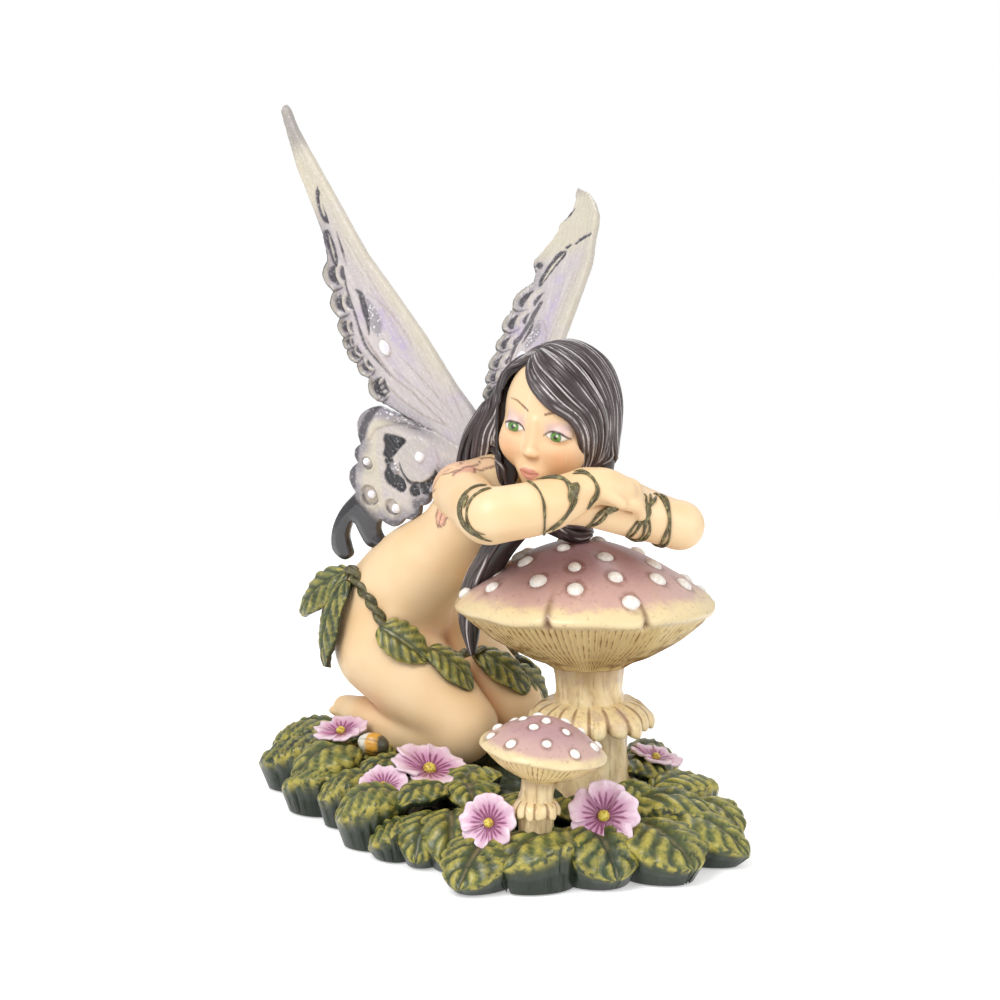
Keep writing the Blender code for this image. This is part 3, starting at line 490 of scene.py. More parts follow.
def skinField():
    field = Field(*skinLook["box"], skinLook["cell"])
    for knots, blend in limbs.values():
        field.limb(onBed(knots), blend, 8)
    field.ball(onBed((-27.5, 41, 33.5)), (13.6, 13.0, 12.8), 3.0)
    field.soften(2)
    hands = {
        "nearPalm": ((19.2, -14, 77.2, 4.3), (23.4, -13.0, 77.2, 4.2), (27.2, -11.2, 75.6, 3.8)),
        "nearThumb": ((20.8, -16.0, 77.0, 1.9), (24.6, -16.4, 75.6, 1.6), (27.6, -15.8, 73.6, 1.25)),
        "farPalm": ((16, -9, 71.5, 3.6), (12, -10.2, 71.0, 3.6), (9.6, -10.4, 70.6, 3.2)),
        "farThumb": ((14.5, -10.5, 72.4, 1.7), (12.2, -13.4, 72.2, 1.5), (9.8, -15.0, 71.4, 1.2)),
    }
    for knots in hands.values():
        field.limb(onBed(knots), 1.0)
    ahead = unit((7.0, 3.6, -4.0))
    back = unit((0.3, -0.55, 0.8))
    side = unit(np.cross(back, ahead))
    for i in range(4):
        spread = i - 1.5
        root = np.array((28.0, -10.6, 75.2)) + side * spread * 1.95
        knuckle = root + ahead * 3.2 + back * 0.5
        tip = root + ahead * (6.4 - 0.5 * abs(spread - 0.5)) - back * 1.6
        field.limb(onBed([(*root, 1.9), (*knuckle, 1.7), (*tip, 1.3)]), 0.35)
        root = np.array((10.0, -10.0, 70.6)) + spread * np.array((0.5, 0.9, 1.35))
        knuckle = root + np.array((-3.2, 0.2, -0.8))
        tip = root + np.array((-6.0, 0.8, -2.2 - 0.2 * spread))
        field.limb(onBed([(*root, 1.55), (*knuckle, 1.4), (*tip, 1.05)]), 0.35)
    for i in range(5):
        spread = i - 2.0
        toe = np.array((-38.0, 48.0, 10.0)) + spread * np.array((0.9, 0.7, 0.5))
        field.limb(onBed([(*toe, 1.3), (*(toe + np.array((-1.6, 1.6, 0.2))), 1.0)]), 0.3)
    return field


# Painted petals on the shoulder: centre, the way each points, half length and half width.
shoulderPetals = (
    ((-5.0, 6.0, 80.0), (-6, 1, -2), 5.4, 2.5), ((-9.0, 8.5, 77.5), (-5, 2, -5), 5.6, 2.8),
    ((-11.5, 11, 74), (-3, 2, -6), 5.6, 2.8), ((-13.0, 13.5, 70), (-2, 2, -7), 5.4, 2.7),
    ((-14.0, 15.5, 66), (-1.5, 2, -7), 5.0, 2.5), ((-8.4, 5.5, 74.6), (-3, -1, -5), 4.4, 2.2),
    ((-16.5, 20, 71), (-3, 3, -5), 4.6, 2.3),
)


# Pointed petals laid on the shoulder, each with a dark outline and middle line.
def petalMasks(points):
    fill = np.zeros(len(points))
    line = np.zeros(len(points))
    for centre, along, length, width in shoulderPetals:
        along = unit(along)
        out = unit(np.asarray(centre) - (-8.0, 22.0, 68.0))
        across = unit(np.cross(out, along))
        along = np.cross(across, out)
        local = points - onBed(centre)
        u, v, depth = local @ along / length, local @ across, local @ out
        edge = width * (1 - np.abs(u) ** 2.2) * (1 + 0.12 * np.cos(u * 9)) - np.abs(v)
        near = ramp(7, 5, np.abs(depth)) * ramp(1.03, 0.97, np.abs(u))
        fill = np.maximum(fill * ramp(0.25, -0.1, edge * near), ramp(-0.1, 0.15, edge) * near)
        dark = ramp(0.42, 0.2, np.abs(edge - 0.15)) * near
        dark = np.maximum(dark, ramp(0.3, 0.12, np.abs(v)) * ramp(-0.2, 0.0, u) * near * ramp(0, 0.3, edge))
        line = np.maximum(line * ramp(0.6, 0.2, edge * near), dark)
    return fill, line


def makeSkin():
    field = skinField()
    hollow = field.hollow(2.5)
    points, quads = field.skin()
    shell = Shell()
    fold = ramp(0.05, 0.3, field.sample(hollow, points))
    warm = ramp(0.02, 0.3, field.sample(field.hollow(5.5), points))
    fill, line = petalMasks(points)
    shell.add(points, quads, fold=fold, warm=warm, fill=fill, line=line)
    paint = Paint("painted_skin", skinLook)
    paint.base(paint.noise(16, 2).between(0.35, 0.7), "flesh", "shade")
    paint.over(paint.noise(22, 2).between(0.56, 0.74) * 0.35, "blush")
    paint.over(paint.mask("warm") * (paint.noise(7, 3) + 0.35) * 0.75, "blush")
    paint.over((paint.mask("fold") + paint.noise(1.1, 3) * 0.12 - 0.06).between(0.05, 1.0) * 0.85, "fold")
    specks = paint.noise(0.8, 4, 0.7).between(0.7, 0.74) * paint.noise(9, 1).between(0.5, 0.6) * 0.25
    paint.over(specks, "fold")
    petal = paint.mix(paint.noise(1.2, 3).between(0.35, 0.7), "petal", "petalPale")
    paint.over(paint.mask("fill") * 0.8, petal)
    paint.over(paint.mask("line") * paint.noise(0.7, 3).between(0.2, 0.45) * 0.8, "petalLine")
    rough = paint.noise(2.5, 3) * 0.2 + (skinLook["roughness"] - 0.1)
    shell.piece("skin", paint.finish(rough, skinLook["coat"], 0.3, bump=(0.9, 3), depth=0.015))
    return field


print("skin")
skin = makeSkin()

# Vines wound round the arms: a limb, three places on its skin, the width, the strands, and the degrees
# that it goes on at each end.
vineLook = {"stem": "#504728", "light": "#AAA06C", "dark": "#261F14", "coat": 0.25, "rows": 64,
            "leaf": (2.6, 1.25)}
vines = (
    ("nearUpperArm", ((-3.6, -14.1, 77.4), (-8.8, -18.4, 73.2), (-3.6, -23.9, 67.5)), 0.62, 3, 6),
    ("nearUpperArm", ((-2.2, -20.2, 77.9), (-6.9, -22.5, 73.1), (-2.0, -23.5, 66.7)), 0.5, 2, 2),
    ("nearForearm", ((7.2, -19.3, 79.1), (9.6, -23.8, 75.0), (10.1, -22.3, 69.0)), 0.6, 1, 30),
    ("nearForearm", ((11.0, -17.3, 79.9), (15.9, -21.2, 76.5), (13.4, -21.9, 70.7)), 0.75, 2, 30),
    ("nearForearm", ((12.6, -18.4, 79.8), (16.6, -21.1, 75.6), (10.8, -21.6, 69.6)), 0.55, 1, 20),
    ("nearForearm", ((17.5, -16.7, 80.7), (20.9, -18.1, 77.3), (20.0, -18.2, 73.9)), 0.6, 2, 15),
    ("farForearm", ((26.8, -9.6, 74.0), (24.0, -12.2, 71.1), (19.6, -10.6, 67.2)), 0.8, 2, 10),
    ("farForearm", ((31.4, -7.7, 73.2), (33.5, -9.0, 68.6), (31.4, -5.5, 63.4)), 0.75, 2, 50),
    ("farForearm", ((34.7, -5.8, 72.8), (32.3, -9.4, 69.1), (29.6, -8.2, 65.2)), 0.7, 2, 20),
    ("farForearm", ((37.9, -5.1, 71.5), (38.6, -7.0, 67.7), (36.9, -3.5, 62.2)), 0.7, 2, 80),
)
# Small leaves on the vines: a place on the skin and the way that each points.
vineLeaves = (
    ((-8.6, -19.2, 75.6), (0.5, -0.6, -1)), ((16.4, -20.4, 77.4), (-0.5, -0.4, -1)),
    ((25.4, -11.4, 72.6), (-0.7, -0.3, -1)), ((33.4, -8.8, 70.4), (-0.4, -0.1, -1)),
)


def makeVines():
    shell = Shell()
    random = np.random.default_rng(8)
    for limb, places, width, strands, beyond in vines:
        first, second, third = onBed(places)
        normal = unit(np.cross(second - first, third - first))
        path = smoothPath(onBed(limbs[limb][0]), 6)
        spot = path[np.argmin(np.linalg.norm(path[:, :3] - (first + second + third) / 3, axis=1))]
        centre = spot[:3] - normal * ((spot[:3] - second) @ normal)
        side = unit(first - centre)
        lift = np.cross(normal, side)
        last = math.atan2((third - centre) @ lift, (third - centre) @ side) % (2 * math.pi)
        for strand in range(strands):
            angle = np.linspace(-math.radians(beyond), last + math.radians(beyond), vineLook["rows"])
            taper = np.sqrt(np.clip(np.sin(np.linspace(0, math.pi, vineLook["rows"])) * 2.5, 0.03, 1))
            ring = centre + spot[3] * (np.cos(angle)[:, None] * side + np.sin(angle)[:, None] * lift)
            shift = ((strand - (strands - 1) / 2) * width * 1.1
                     + 0.5 * width * np.sin(angle * 3 + strand * 2.4 + width * 9))
            ring = ring + normal * shift[:, None]
            ring = skin.settle(ring, 0.35 * width, 5.0)
            thick = width * 0.5 * taper * (1 + 0.25 * np.sin(angle * 5 + strand + random.uniform(0, 6)))
            shell.tube(np.hstack([ring, thick[:, None]]), 8, up=normal, tone=random.uniform(0, 1))
    leafLength, leafWidth = vineLook["leaf"]
    for place, along in vineLeaves:
        start = onBed(place)
        steps = np.linspace(-1, 1, 9)
        path = skin.settle(start + steps[:, None] * unit(along) * leafLength, 0.3, 5.0)
        here, out = skin.nearby(path)
        width = leafWidth * np.sqrt(np.clip(1 - steps**2, 0.02, 1))
        shell.tube(np.hstack([path, width[:, None]]), 10, flat=0.4, up=out, tone=0.9)
    paint = Paint("vine", vineLook)
    paint.base(paint.noise(1.0, 4, 0.6).between(0.48, 0.72), "stem", "light")
    paint.over(paint.mask("tone") * 0.2, "light")
    paint.over(paint.noise(0.7, 4, 0.6).between(0.5, 0.7) * 0.8, "dark")
    rough = paint.noise(1, 2) * 0.15 + 0.35
    shell.piece("arm_vines", paint.finish(rough, vineLook["coat"], bump=(0.5, 3), depth=0.06))


print("vines")
makeVines()

# Head, drawn in its own frame: x to its left, -y forward, z up, from its middle, in mm before the scale.
headCentre = onBed((13.0, 6.0, 90.0))
headTurn = np.array(Euler((math.radians(16), math.radians(10), math.radians(-25)), "XZY").to_matrix())
headScale = 1.06


def fromHead(points):
    return headScale * np.asarray(points, float) @ headTurn.T + headCentre


def toHead(points):
    return (np.asarray(points, float) - headCentre) @ headTurn / headScale


faceLook = {
    "flesh": "#FDDAAE", "shade": "#F6D09E", "blush": "#F0A274", "fold": "#B06E48", "shadow": "#D9BBCB",
    "brow": "#7A4E2E", "lash": "#2B1C18", "iris": "#5E9A38", "irisRim": "#27501F", "pupil": "#12100E",
    "white": "#FAF6EC", "lip": "#EBA396", "lipDark": "#B0604F", "cell": 0.265,
    "box": ((-14, -18, -24), (14, 16, 17)), "eyeAside": 5.1, "eyeHeight": 0.3, "eyeWidth": 5.2,
    "mouthHeight": -8.6, "mouthWidth": 4.8,
}
# The neck's knots above the bed: place and radius.
neck = ((3.5, 14.5, 70, 5.8), (7, 12.5, 77, 4.9), (10.6, 10.4, 83.5, 4.9), (12.4, 9, 89, 5.4))


def makeHead():
    look = faceLook
    field = Field(*look["box"], look["cell"])
    field.ball((0, 1.5, 1.5), (11.6, 12.6, 13.6), 0)
    field.ball((0, -3.0, -5.4), (8.8, 8.8, 8.4), 4.0)  # jaw
    field.ball((0, -8.9, -11.4), (2.9, 2.8, 2.6), 3.0)
    for side in (-1, 1):
        field.ball((side * 5.4, -7.0, -4.6), (4.1, 4.0, 4.0), 3.0)  # cheek
        field.ball((side * look["eyeAside"], -13.9, look["eyeHeight"] + 0.1), (3.5, 2.7, 2.3), 2.4,
                   cut=True)
        field.ball((side * look["eyeAside"], -8.3, look["eyeHeight"]), (2.9, 2.9, 2.5), 0.5)
        field.ball((side * 1.0, -12.2, -4.3), (0.7, 0.95, 0.6), 0.6)
    field.limb([(0, -11.2, 3.0, 0.45), (0, -11.6, -0.6, 0.55), (0, -12.4, -3.2, 0.7)], 1.6)
    field.ball((0, -12.7, -3.9), (0.95, 1.0, 0.85), 0.8)
    mouth = look["mouthHeight"]
    half = look["mouthWidth"] / 2
    field.ball((0, -10.7, mouth), (3.2, 1.9, 2.2), 2.2)
    field.limb([(-half, -11.1, mouth + 0.05, 0.3), (-0.9, -12.3, mouth + 0.7, 0.55),
                (0, -12.4, mouth + 0.55, 0.5), (0.9, -12.3, mouth + 0.7, 0.55),
                (half, -11.1, mouth + 0.05, 0.3)], 0.35)
    field.limb([(-half + 0.5, -11.1, mouth - 0.3, 0.35), (0, -12.2, mouth - 0.8, 0.78),
                (half - 0.5, -11.1, mouth - 0.3, 0.35)], 0.35)
    neckPath = toHead(onBed([knot[:3] for knot in neck]))
    field.limb([(*place, knot[3]) for place, knot in zip(neckPath, neck)], 2.0)
    hollow = field.hollow(1.6)
    points, quads = field.skin()
    fold = ramp(0.03, 0.3, field.sample(hollow, points))
    x, y, z = points.T
    aside = np.abs(x)
    front = ramp(-5.5, -7.5, y)
    eyeX = (aside - look["eyeAside"]) / (look["eyeWidth"] / 2)
    eyeZ = z - look["eyeHeight"]
    upper = 1.22 * (1 - np.abs(eyeX + 0.08) ** 2.2) - 0.1 + 0.12 * eyeX
    lower = -0.92 * (1 - np.abs(eyeX - 0.1) ** 2.0) + 0.12 * eyeX
    inside = np.minimum(upper - eyeZ, eyeZ - lower)
    inside = np.where(np.abs(eyeX) > 1.0, -np.abs(np.abs(eyeX) - 1) * 2.5, inside)
    white = ramp(-0.12, 0.12, inside) * front
    gaze = x - np.sign(x) * look["eyeAside"]
    fromPupil = np.hypot(gaze, eyeZ - 0.1)
    iris = ramp(1.35, 1.1, fromPupil) * white
    irisRim = ramp(0.26, 0.0, np.abs(fromPupil - 1.18)) * white
    pupil = ramp(0.62, 0.42, fromPupil) * white
    glint = ramp(0.34, 0.16, np.hypot(gaze - 0.35, eyeZ - 0.5)) * white
    lash = ramp(0.34, 0.14, np.abs(eyeZ - upper - 0.12)) * ramp(1.16, 1.04, np.abs(eyeX)) * front
    lash = np.maximum(lash, 0.55 * ramp(0.2, 0.05, np.abs(eyeZ - lower)) * ramp(1.05, 0.9, np.abs(eyeX))
                      * front)
    lid = ramp(-0.1, 0.3, eyeZ - upper) * ramp(4.2, 1.6, eyeZ) * ramp(1.4, 0.6, np.abs(eyeX)) * front
    browLine = (4.75 + 1.0 * np.sin(np.clip((aside - 1.9) / 6.6, 0, 1) * math.pi * 0.85)
                - 0.12 * np.maximum(aside - 5.5, 0))
    browWide = 0.27 - 0.035 * np.maximum(aside - 2.5, 0)
    brow = (ramp(browWide + 0.12, browWide - 0.12, np.abs(z - browLine)) * ramp(1.7, 2.1, aside)
            * ramp(8.4, 7.6, aside) * front)
    share = np.clip(aside / half, 0, 1)
    lipTop = mouth + 0.12 + (1.25 - 0.28 * np.exp(-((x / 0.55) ** 2))) * (1 - share**1.8)
    lipLow = mouth - 1.55 * (1 - share**2.2)
    lip = np.minimum(lipTop - z, z - lipLow)
    lip = ramp(-0.14, 0.14, np.where(share >= 1, -1, lip)) * front
    parting = (ramp(0.26, 0.06, np.abs(z - mouth - 0.02 + 0.12 * np.cos(x * 1.4))) * ramp(1.0, 0.9, share)
               * front)
    cheek = np.exp(-(((aside - 6.4) / 3.2) ** 2) - ((z + 4.2) / 2.8) ** 2) * front
    nostril = ramp(0.45, 0.2, np.hypot((aside - 0.65) / 1.2, (z + 4.85))) * ramp(-11, -12, y)
    shell = Shell()
    shell.add(fromHead(points), quads, fold=fold, white=white, iris=iris, irisRim=irisRim, pupil=pupil,
              glint=glint, lash=lash, lid=lid, brow=brow, lip=lip, parting=parting, cheek=cheek,
              nostril=nostril)
    paint = Paint("painted_face", look)
    paint.base(paint.noise(9, 2).between(0.3, 0.8) * 0.35, "flesh", "shade")
    paint.over(paint.mask("cheek") * 0.45, "blush")
    paint.over(paint.mask("fold") * 0.75, "fold")
    layers = (
        ("nostril", "fold", 0.8), ("lid", "shadow", 0.6), ("lip", "lip", 0.85), ("parting", "lipDark", 0.8),
        ("brow", "brow", 0.9), ("white", "white", 1.0), ("iris", "iris", 1.0), ("irisRim", "irisRim", 0.8),
        ("pupil", "pupil", 1.0), ("glint", "white", 1.0), ("lash", "lash", 0.95),
    )
    for mask, colour, share in layers:
        paint.over(paint.mask(mask) * share, colour)
    gloss = paint.mask("white").most(paint.mask("lip"))
    rough = paint.noise(2.0, 3) * 0.14 + 0.38 - gloss * 0.22
    shell.piece("head", paint.finish(rough, gloss * 0.6 + 0.2, 0.15, bump=(0.8, 3), depth=0.012))


print("head")
makeHead()

# Hair: a dark base shell, and strands that follow guides from the parting to the ends.
hairLook = {
    "deep": "#1C1315", "base": "#3E3032", "soft": "#7A6C6E", "brush": "#E8E2E1", "roughness": 0.34,
    "coat": 0.25, "box": ((-20, -14, 35), (36, 46, 122)), "strand": 0.56, "strandRows": 34,
    "openingLean": 11, "cell": 0.65,
}
hairBase = (
    ((21, 8, 99, 4.0), (23.0, 6.2, 89, 3.7), (22.9, 5.4, 80, 3.7), (21.5, 6, 70, 3.6)),
    ((18, 15, 96, 6.0), (19.0, 18, 84, 5.6), (16, 19, 72, 4.6)),
    ((3.8, 7, 99, 2.8), (2.3, 6.8, 92, 3.0), (1.7, 6.2, 84, 2.8), (1.9, 4.4, 76, 2.3)),
    ((7, 14, 97, 5.8), (1.8, 15.5, 89, 5.8), (-3.4, 17.5, 82, 5.0), (-6.3, 18.5, 75, 4.0)),
    ((12, 20, 92, 6.6), (4.5, 24.5, 82, 4.4), (-1.5, 29, 71, 2.8), (-6, 34, 60, 1.6)),
    ((8, 7, 70, 5.2), (15, 6.5, 66, 4.2), (19, 8.5, 62.5, 2.6)),
    ((6, 4, 68, 4.2), (1, 3, 61.5, 3.6), (-2, 6, 55.5, 3.2), (-5.2, 11.5, 49, 2.8), (-6.8, 16, 42.5, 2.3),
     (-6.6, 16.5, 37, 2.0), (-6.4, 16, 31.5, 0.8)),
)
hairCap = ((0.2, 2.0, 0.8), (12.5, 14.0, 15.2))
# Where the face is open, in a plane that leans back: x and height.
faceOpening = (
    (7.1, 109.4), (7.3, 104.7), (9.3, 101.5), (11.8, 98.7), (14.4, 97.6), (16.2, 96.0), (17.3, 93.3),
    (17.8, 89.2), (18.2, 85.5), (18.2, 76.9), (1.4, 76.9), (0.7, 86.7), (-0.3, 90.5), (-0.2, 95.3),
    (0.0, 99.6), (0.7, 103.3), (2.5, 106.5), (5.2, 108.5),
)
partFront = (-5.6, -3.2, 12.5)
partBack = (-2.6, 6.7, 15.6)
# Guides: places in the head's frame, then places above the bed.
hairGuides = {
    "brow": (
        (partFront, (-3.2, -7.6, 9.9), (0, -9.4, 7.8), (3, -9.8, 5.9), (5.6, -9.2, 4.8), (7.4, -8.6, 3),
         (8.6, -8, 0.4), (8.9, -7, -4), (8.2, -4.6, -9)),
        ((18.2, -0.5, 76), (18.5, 1.5, 70)),
    ),
    "right": (
        (partBack, (3, 9, 14.6), (8.5, 9.6, 11), (12, 9, 5), (13.2, 8.4, -2), (13.6, 7.6, -8)),
        ((26.4, 9, 80), (25.6, 9.5, 74), (23.5, 10, 69)),
    ),
    "back": (
        (partBack, (1, 13, 13), (3, 17, 6), (3.6, 17.6, -2), (3.4, 16.5, -9)),
        ((12, 22.5, 80), (13, 23, 74), (13.5, 23, 68)),
    ),
    "backLeft": (
        (partBack, (-3, 12, 13.5), (-4, 15.5, 7), (-4.6, 16.2, -2), (-4.6, 16, -9)),
        ((1, 22, 80), (-3, 27, 70), (-8, 34.5, 59)),
    ),
    "left": (
        (partBack, (-7, 9, 13), (-10.4, 9, 8), (-10.9, 8.6, 0)),
        ((-2.6, 17, 88.5), (-7.4, 19.5, 82), (-9.6, 21, 76), (-10.8, 22, 71)),
    ),
    "cheek": (
        (partFront, (-8.6, -2.6, 9.9), (-11.1, -2.4, 6.4), (-12, -3.2, 3), (-12.1, -4, -0.5),
         (-11.6, -5, -4.5), (-11, -5.6, -8.5)),
        ((1.4, 2, 78.5), (2, 0.8, 74)),
    ),
    "lockFront": (
        (),
        ((7.5, 1, 70.5), (1, -0.4, 63.5), (-1.8, 2.4, 57.5), (-5, 8.2, 50.5), (-7, 13.2, 43.5),
         (-7.2, 14.2, 37), (-6.6, 15, 30.5)),
    ),
    "lockBack": (
        (),
        ((2.5, 6.6, 66), (-2, 7.4, 60), (-5, 10.6, 54.5), (-8.2, 15.2, 47), (-9.2, 18.4, 41),
         (-8.8, 18.8, 36), (-7.2, 17.4, 31.5)),
    ),
    "lowTop": ((), ((7, 1.5, 71), (12, 0.8, 69), (17, 3, 66.5), (21, 7.5, 63.5))),
    "lowUnder": ((), ((4, 4.5, 67), (9, 4.5, 63.5), (14.5, 6.5, 62), (20, 10, 60))),
}
# Sheets of hair between two guides, the number of strands in each, and how far they wave.
hairSheets = (
    ("brow", "right", 50, 0.5), ("right", "back", 22, 0.4), ("back", "backLeft", 20, 0.4),
    ("backLeft", "left", 20, 0.6), ("left", "cheek", 32, 0.5), ("lockFront", "lockBack", 15, 1.3),
    ("lowTop", "lowUnder", 13, 0.8),
)


# The path with a given number of rows, evenly spaced along it.
def evenly(path, rows):
    length = np.concatenate([[0], np.cumsum(np.linalg.norm(np.diff(path, axis=0), axis=1))])
    steps = np.linspace(0, length[-1], rows)
    return np.stack([np.interp(steps, length, path[:, i]) for i in range(path.shape[1])], 1)


def makeHair():
    look = hairLook
    field = Field(*look["box"], look["cell"])
    for knots in hairBase:
        field.limb(onBed(knots), 1.6)
    centre, radii = hairCap
    field.ball(fromHead(centre), np.array(radii) * headScale, 2.0, headTurn)
    whole = copy.copy(field)
    whole.values = field.values.copy()
    back = math.radians(look["openingLean"])

    def opening(points):
        plane = np.stack([points[..., 0],
                          points[..., 1] * math.sin(back) + points[..., 2] * math.cos(back)], -1)
        depth = ((points[..., 1] - headCentre[1]) * math.cos(back)
                 - (points[..., 2] - headCentre[2]) * math.sin(back))
        return np.maximum(outlineDistance(plane, faceOpening), depth - 1.0)

    field.cut(opening, (-4, -14, 74), (22, 16, 112), 0.4)
    points, quads = field.skin()
    shell = Shell()
    shell.add(points, quads, strand=0.1, lit=0.0)
    random = np.random.default_rng(4)
    guides = {}
    rows = look["strandRows"]
    for name, (local, world) in hairGuides.items():
        places = ([*fromHead(local)] if local else []) + [*onBed(world)]
        guides[name] = evenly(smoothPath(places, 5), rows)
    t = np.linspace(0, 1, rows)
    for first, second, count, wave in hairSheets:
        onHead = bool(hairGuides[first][0])
        for i in range(count):
            share = (i + (1.6 if first == "brow" else 0.5)) / (count + 1)
            sway = (share + (wave / count) * np.sin(t * random.uniform(4, 9) + random.uniform(0, 6.3))
                    * ramp(0, 0.3, t))
            path = guides[first] + (guides[second] - guides[first]) * sway[:, None]
            path = whole.settle(path, 0.1 if onHead else 0.05, 6.0 if onHead else 2.5)
            path[1:-1] = 0.25 * path[:-2] + 0.5 * path[1:-1] + 0.25 * path[2:]
            here, out = whole.nearby(path)
            radius = look["strand"] * random.uniform(0.75, 1.3) * (1 if onHead else 1.35)
            thick = radius * ramp(-0.06, 0.08, t) * (1 - 0.6 * ramp(0.8, 1.0, t))
            crest = np.repeat(np.maximum(0, np.sin(np.arange(8) * 2 * math.pi / 8))[None], rows, 0)
            flow = t * 9 + random.uniform(0, 90)
            shell.tube(np.hstack([path, thick[:, None]]), 8, up=out, strand=random.uniform(0.35, 1.0),
                       lit=random.uniform(0, 1), crest=crest, flow=flow)
    paint = Paint("brushed_hair", look)
    place = paint.node("ShaderNodeCombineXYZ", None,
                       {0: paint.mask("flow") * 0.45, 1: paint.mask("lit") * 40, 2: 0.0})
    broken = paint.node("ShaderNodeTexNoise", None,
                        {"Vector": place, "Scale": 1.0, "Detail": 3.0, "Roughness": 0.6})
    paint.base(paint.mask("strand"), "deep", "base")
    # A painted sheen in soft grey on the outer crest of each strand.
    paint.over(paint.mask("crest").between(0.3, 1.0) * broken.between(0.35, 0.65) * 0.36, "soft")
    # Silver dry-brush on the strand crests, partly a painted highlight.
    silver = (paint.mask("crest").between(0.8, 1.0) * paint.mask("lit").between(0.5, 0.8)
              * broken.between(0.42, 0.58))
    silver = silver * (paint.noise(0.5, 3, 0.6).between(0.3, 0.5) * 0.5 + 0.5)
    paint.over(silver * 0.9, "brush")
    rough = paint.noise(1.5, 2) * 0.2 + (look["roughness"] - 0.1)
    shell.piece("hair", paint.finish(rough, look["coat"], 0.25, bump=(0.5, 3), depth=0.03))


print("hair")
makeHair()

# Bed of leaves.
bedLook = {
    "ground": "#24321F", "moss": "#42522B", "leaf": "#44552F", "leafLight": "#D2C258", "vein": "#1A271A",
    "rib": "#8A7A4E", "edge": "#8F9148", "roughness": 0.4, "coat": 0.25,
    "box": ((-58, -50, -2), (56, 72, 16)), "cell": 1.5,
}
bedOutline = (
    (-52, 40), (-46, 24), (-35, 11), (-27, -8), (-16, -20), (-6, -40), (12, -43), (25, -34), (41, -34),
    (50, -22), (47, -6), (43, 12), (35, 26), (23, 43), (8, 56), (-14, 65), (-36, 66), (-50, 56),
)
# Leaves at the rim and on top: base, tip and width.
rimLeaves = (
    ((-40, 37, 5), (-59, 39, -2), 13), ((-39, 43, 6), (-56, 49, 0), 12), ((-34, 25, 5), (-49, 17, -1), 14),
    ((-38, 14, 2), (-52, 20, -3), 10), ((-29, 6, 3), (-43, 6, -2), 11), ((-22, -9, 3), (-38, -11, -2), 15),
    ((-19, -20, 0), (-30, -20, -6), 11), ((-15, -18, 2), (-19, -31, -6), 10),
    ((-11, -17, 2), (-11, -35, -6), 11), ((0, -34, 2), (-9, -51, -6), 14), ((16, -37, 2), (0, -49, -2), 14),
    ((18, -31, 2), (26, -47, -5), 17), ((30, -28, 2), (43, -43, -4), 17), ((37, -17, 1), (56, -29, -5), 13),
    ((29, -15, 3), (52, -14, -2), 14), ((36, -1, 3), (51, 9, 0.5), 11), ((44, -4, 0), (55, -18, -3), 10),
    ((30, 26, 3), (43, 29, 0), 12),
)
topLeaves = (
    ((-12, -9, 5), (-24, -15, 3), 11), ((27, -9, 6), (35, -15, 1), 11), ((-20, 14, 4), (-33, 9, 4), 12),
    ((-8, -3, 4), (-6, -17, 3), 12), ((-3, 8, 4), (-10, -5, 4), 11), ((26, 14, 4), (40, 10, 3), 12),
    ((-26, 24, 3), (-35, 30, 3), 11), ((8, -12, 3), (4, -27, 3), 13), ((14, -14, 3), (22, -28, 2), 13),
    ((2, 22, 2), (10, 32, 2), 11), ((24, 30, 2), (12, 40, 2), 12), ((-4, -20, 2), (-2, -32, 2), 11),
)

# Leaves behind the figure, spaced by degrees on an ellipse.
backLeaves = {
    "count": 11, "start": 12, "apart": 14, "centre": (-8, 30, bedTop - 5), "reach": (46, 45), "length": 19,
    "rise": 7, "width": 18,
}


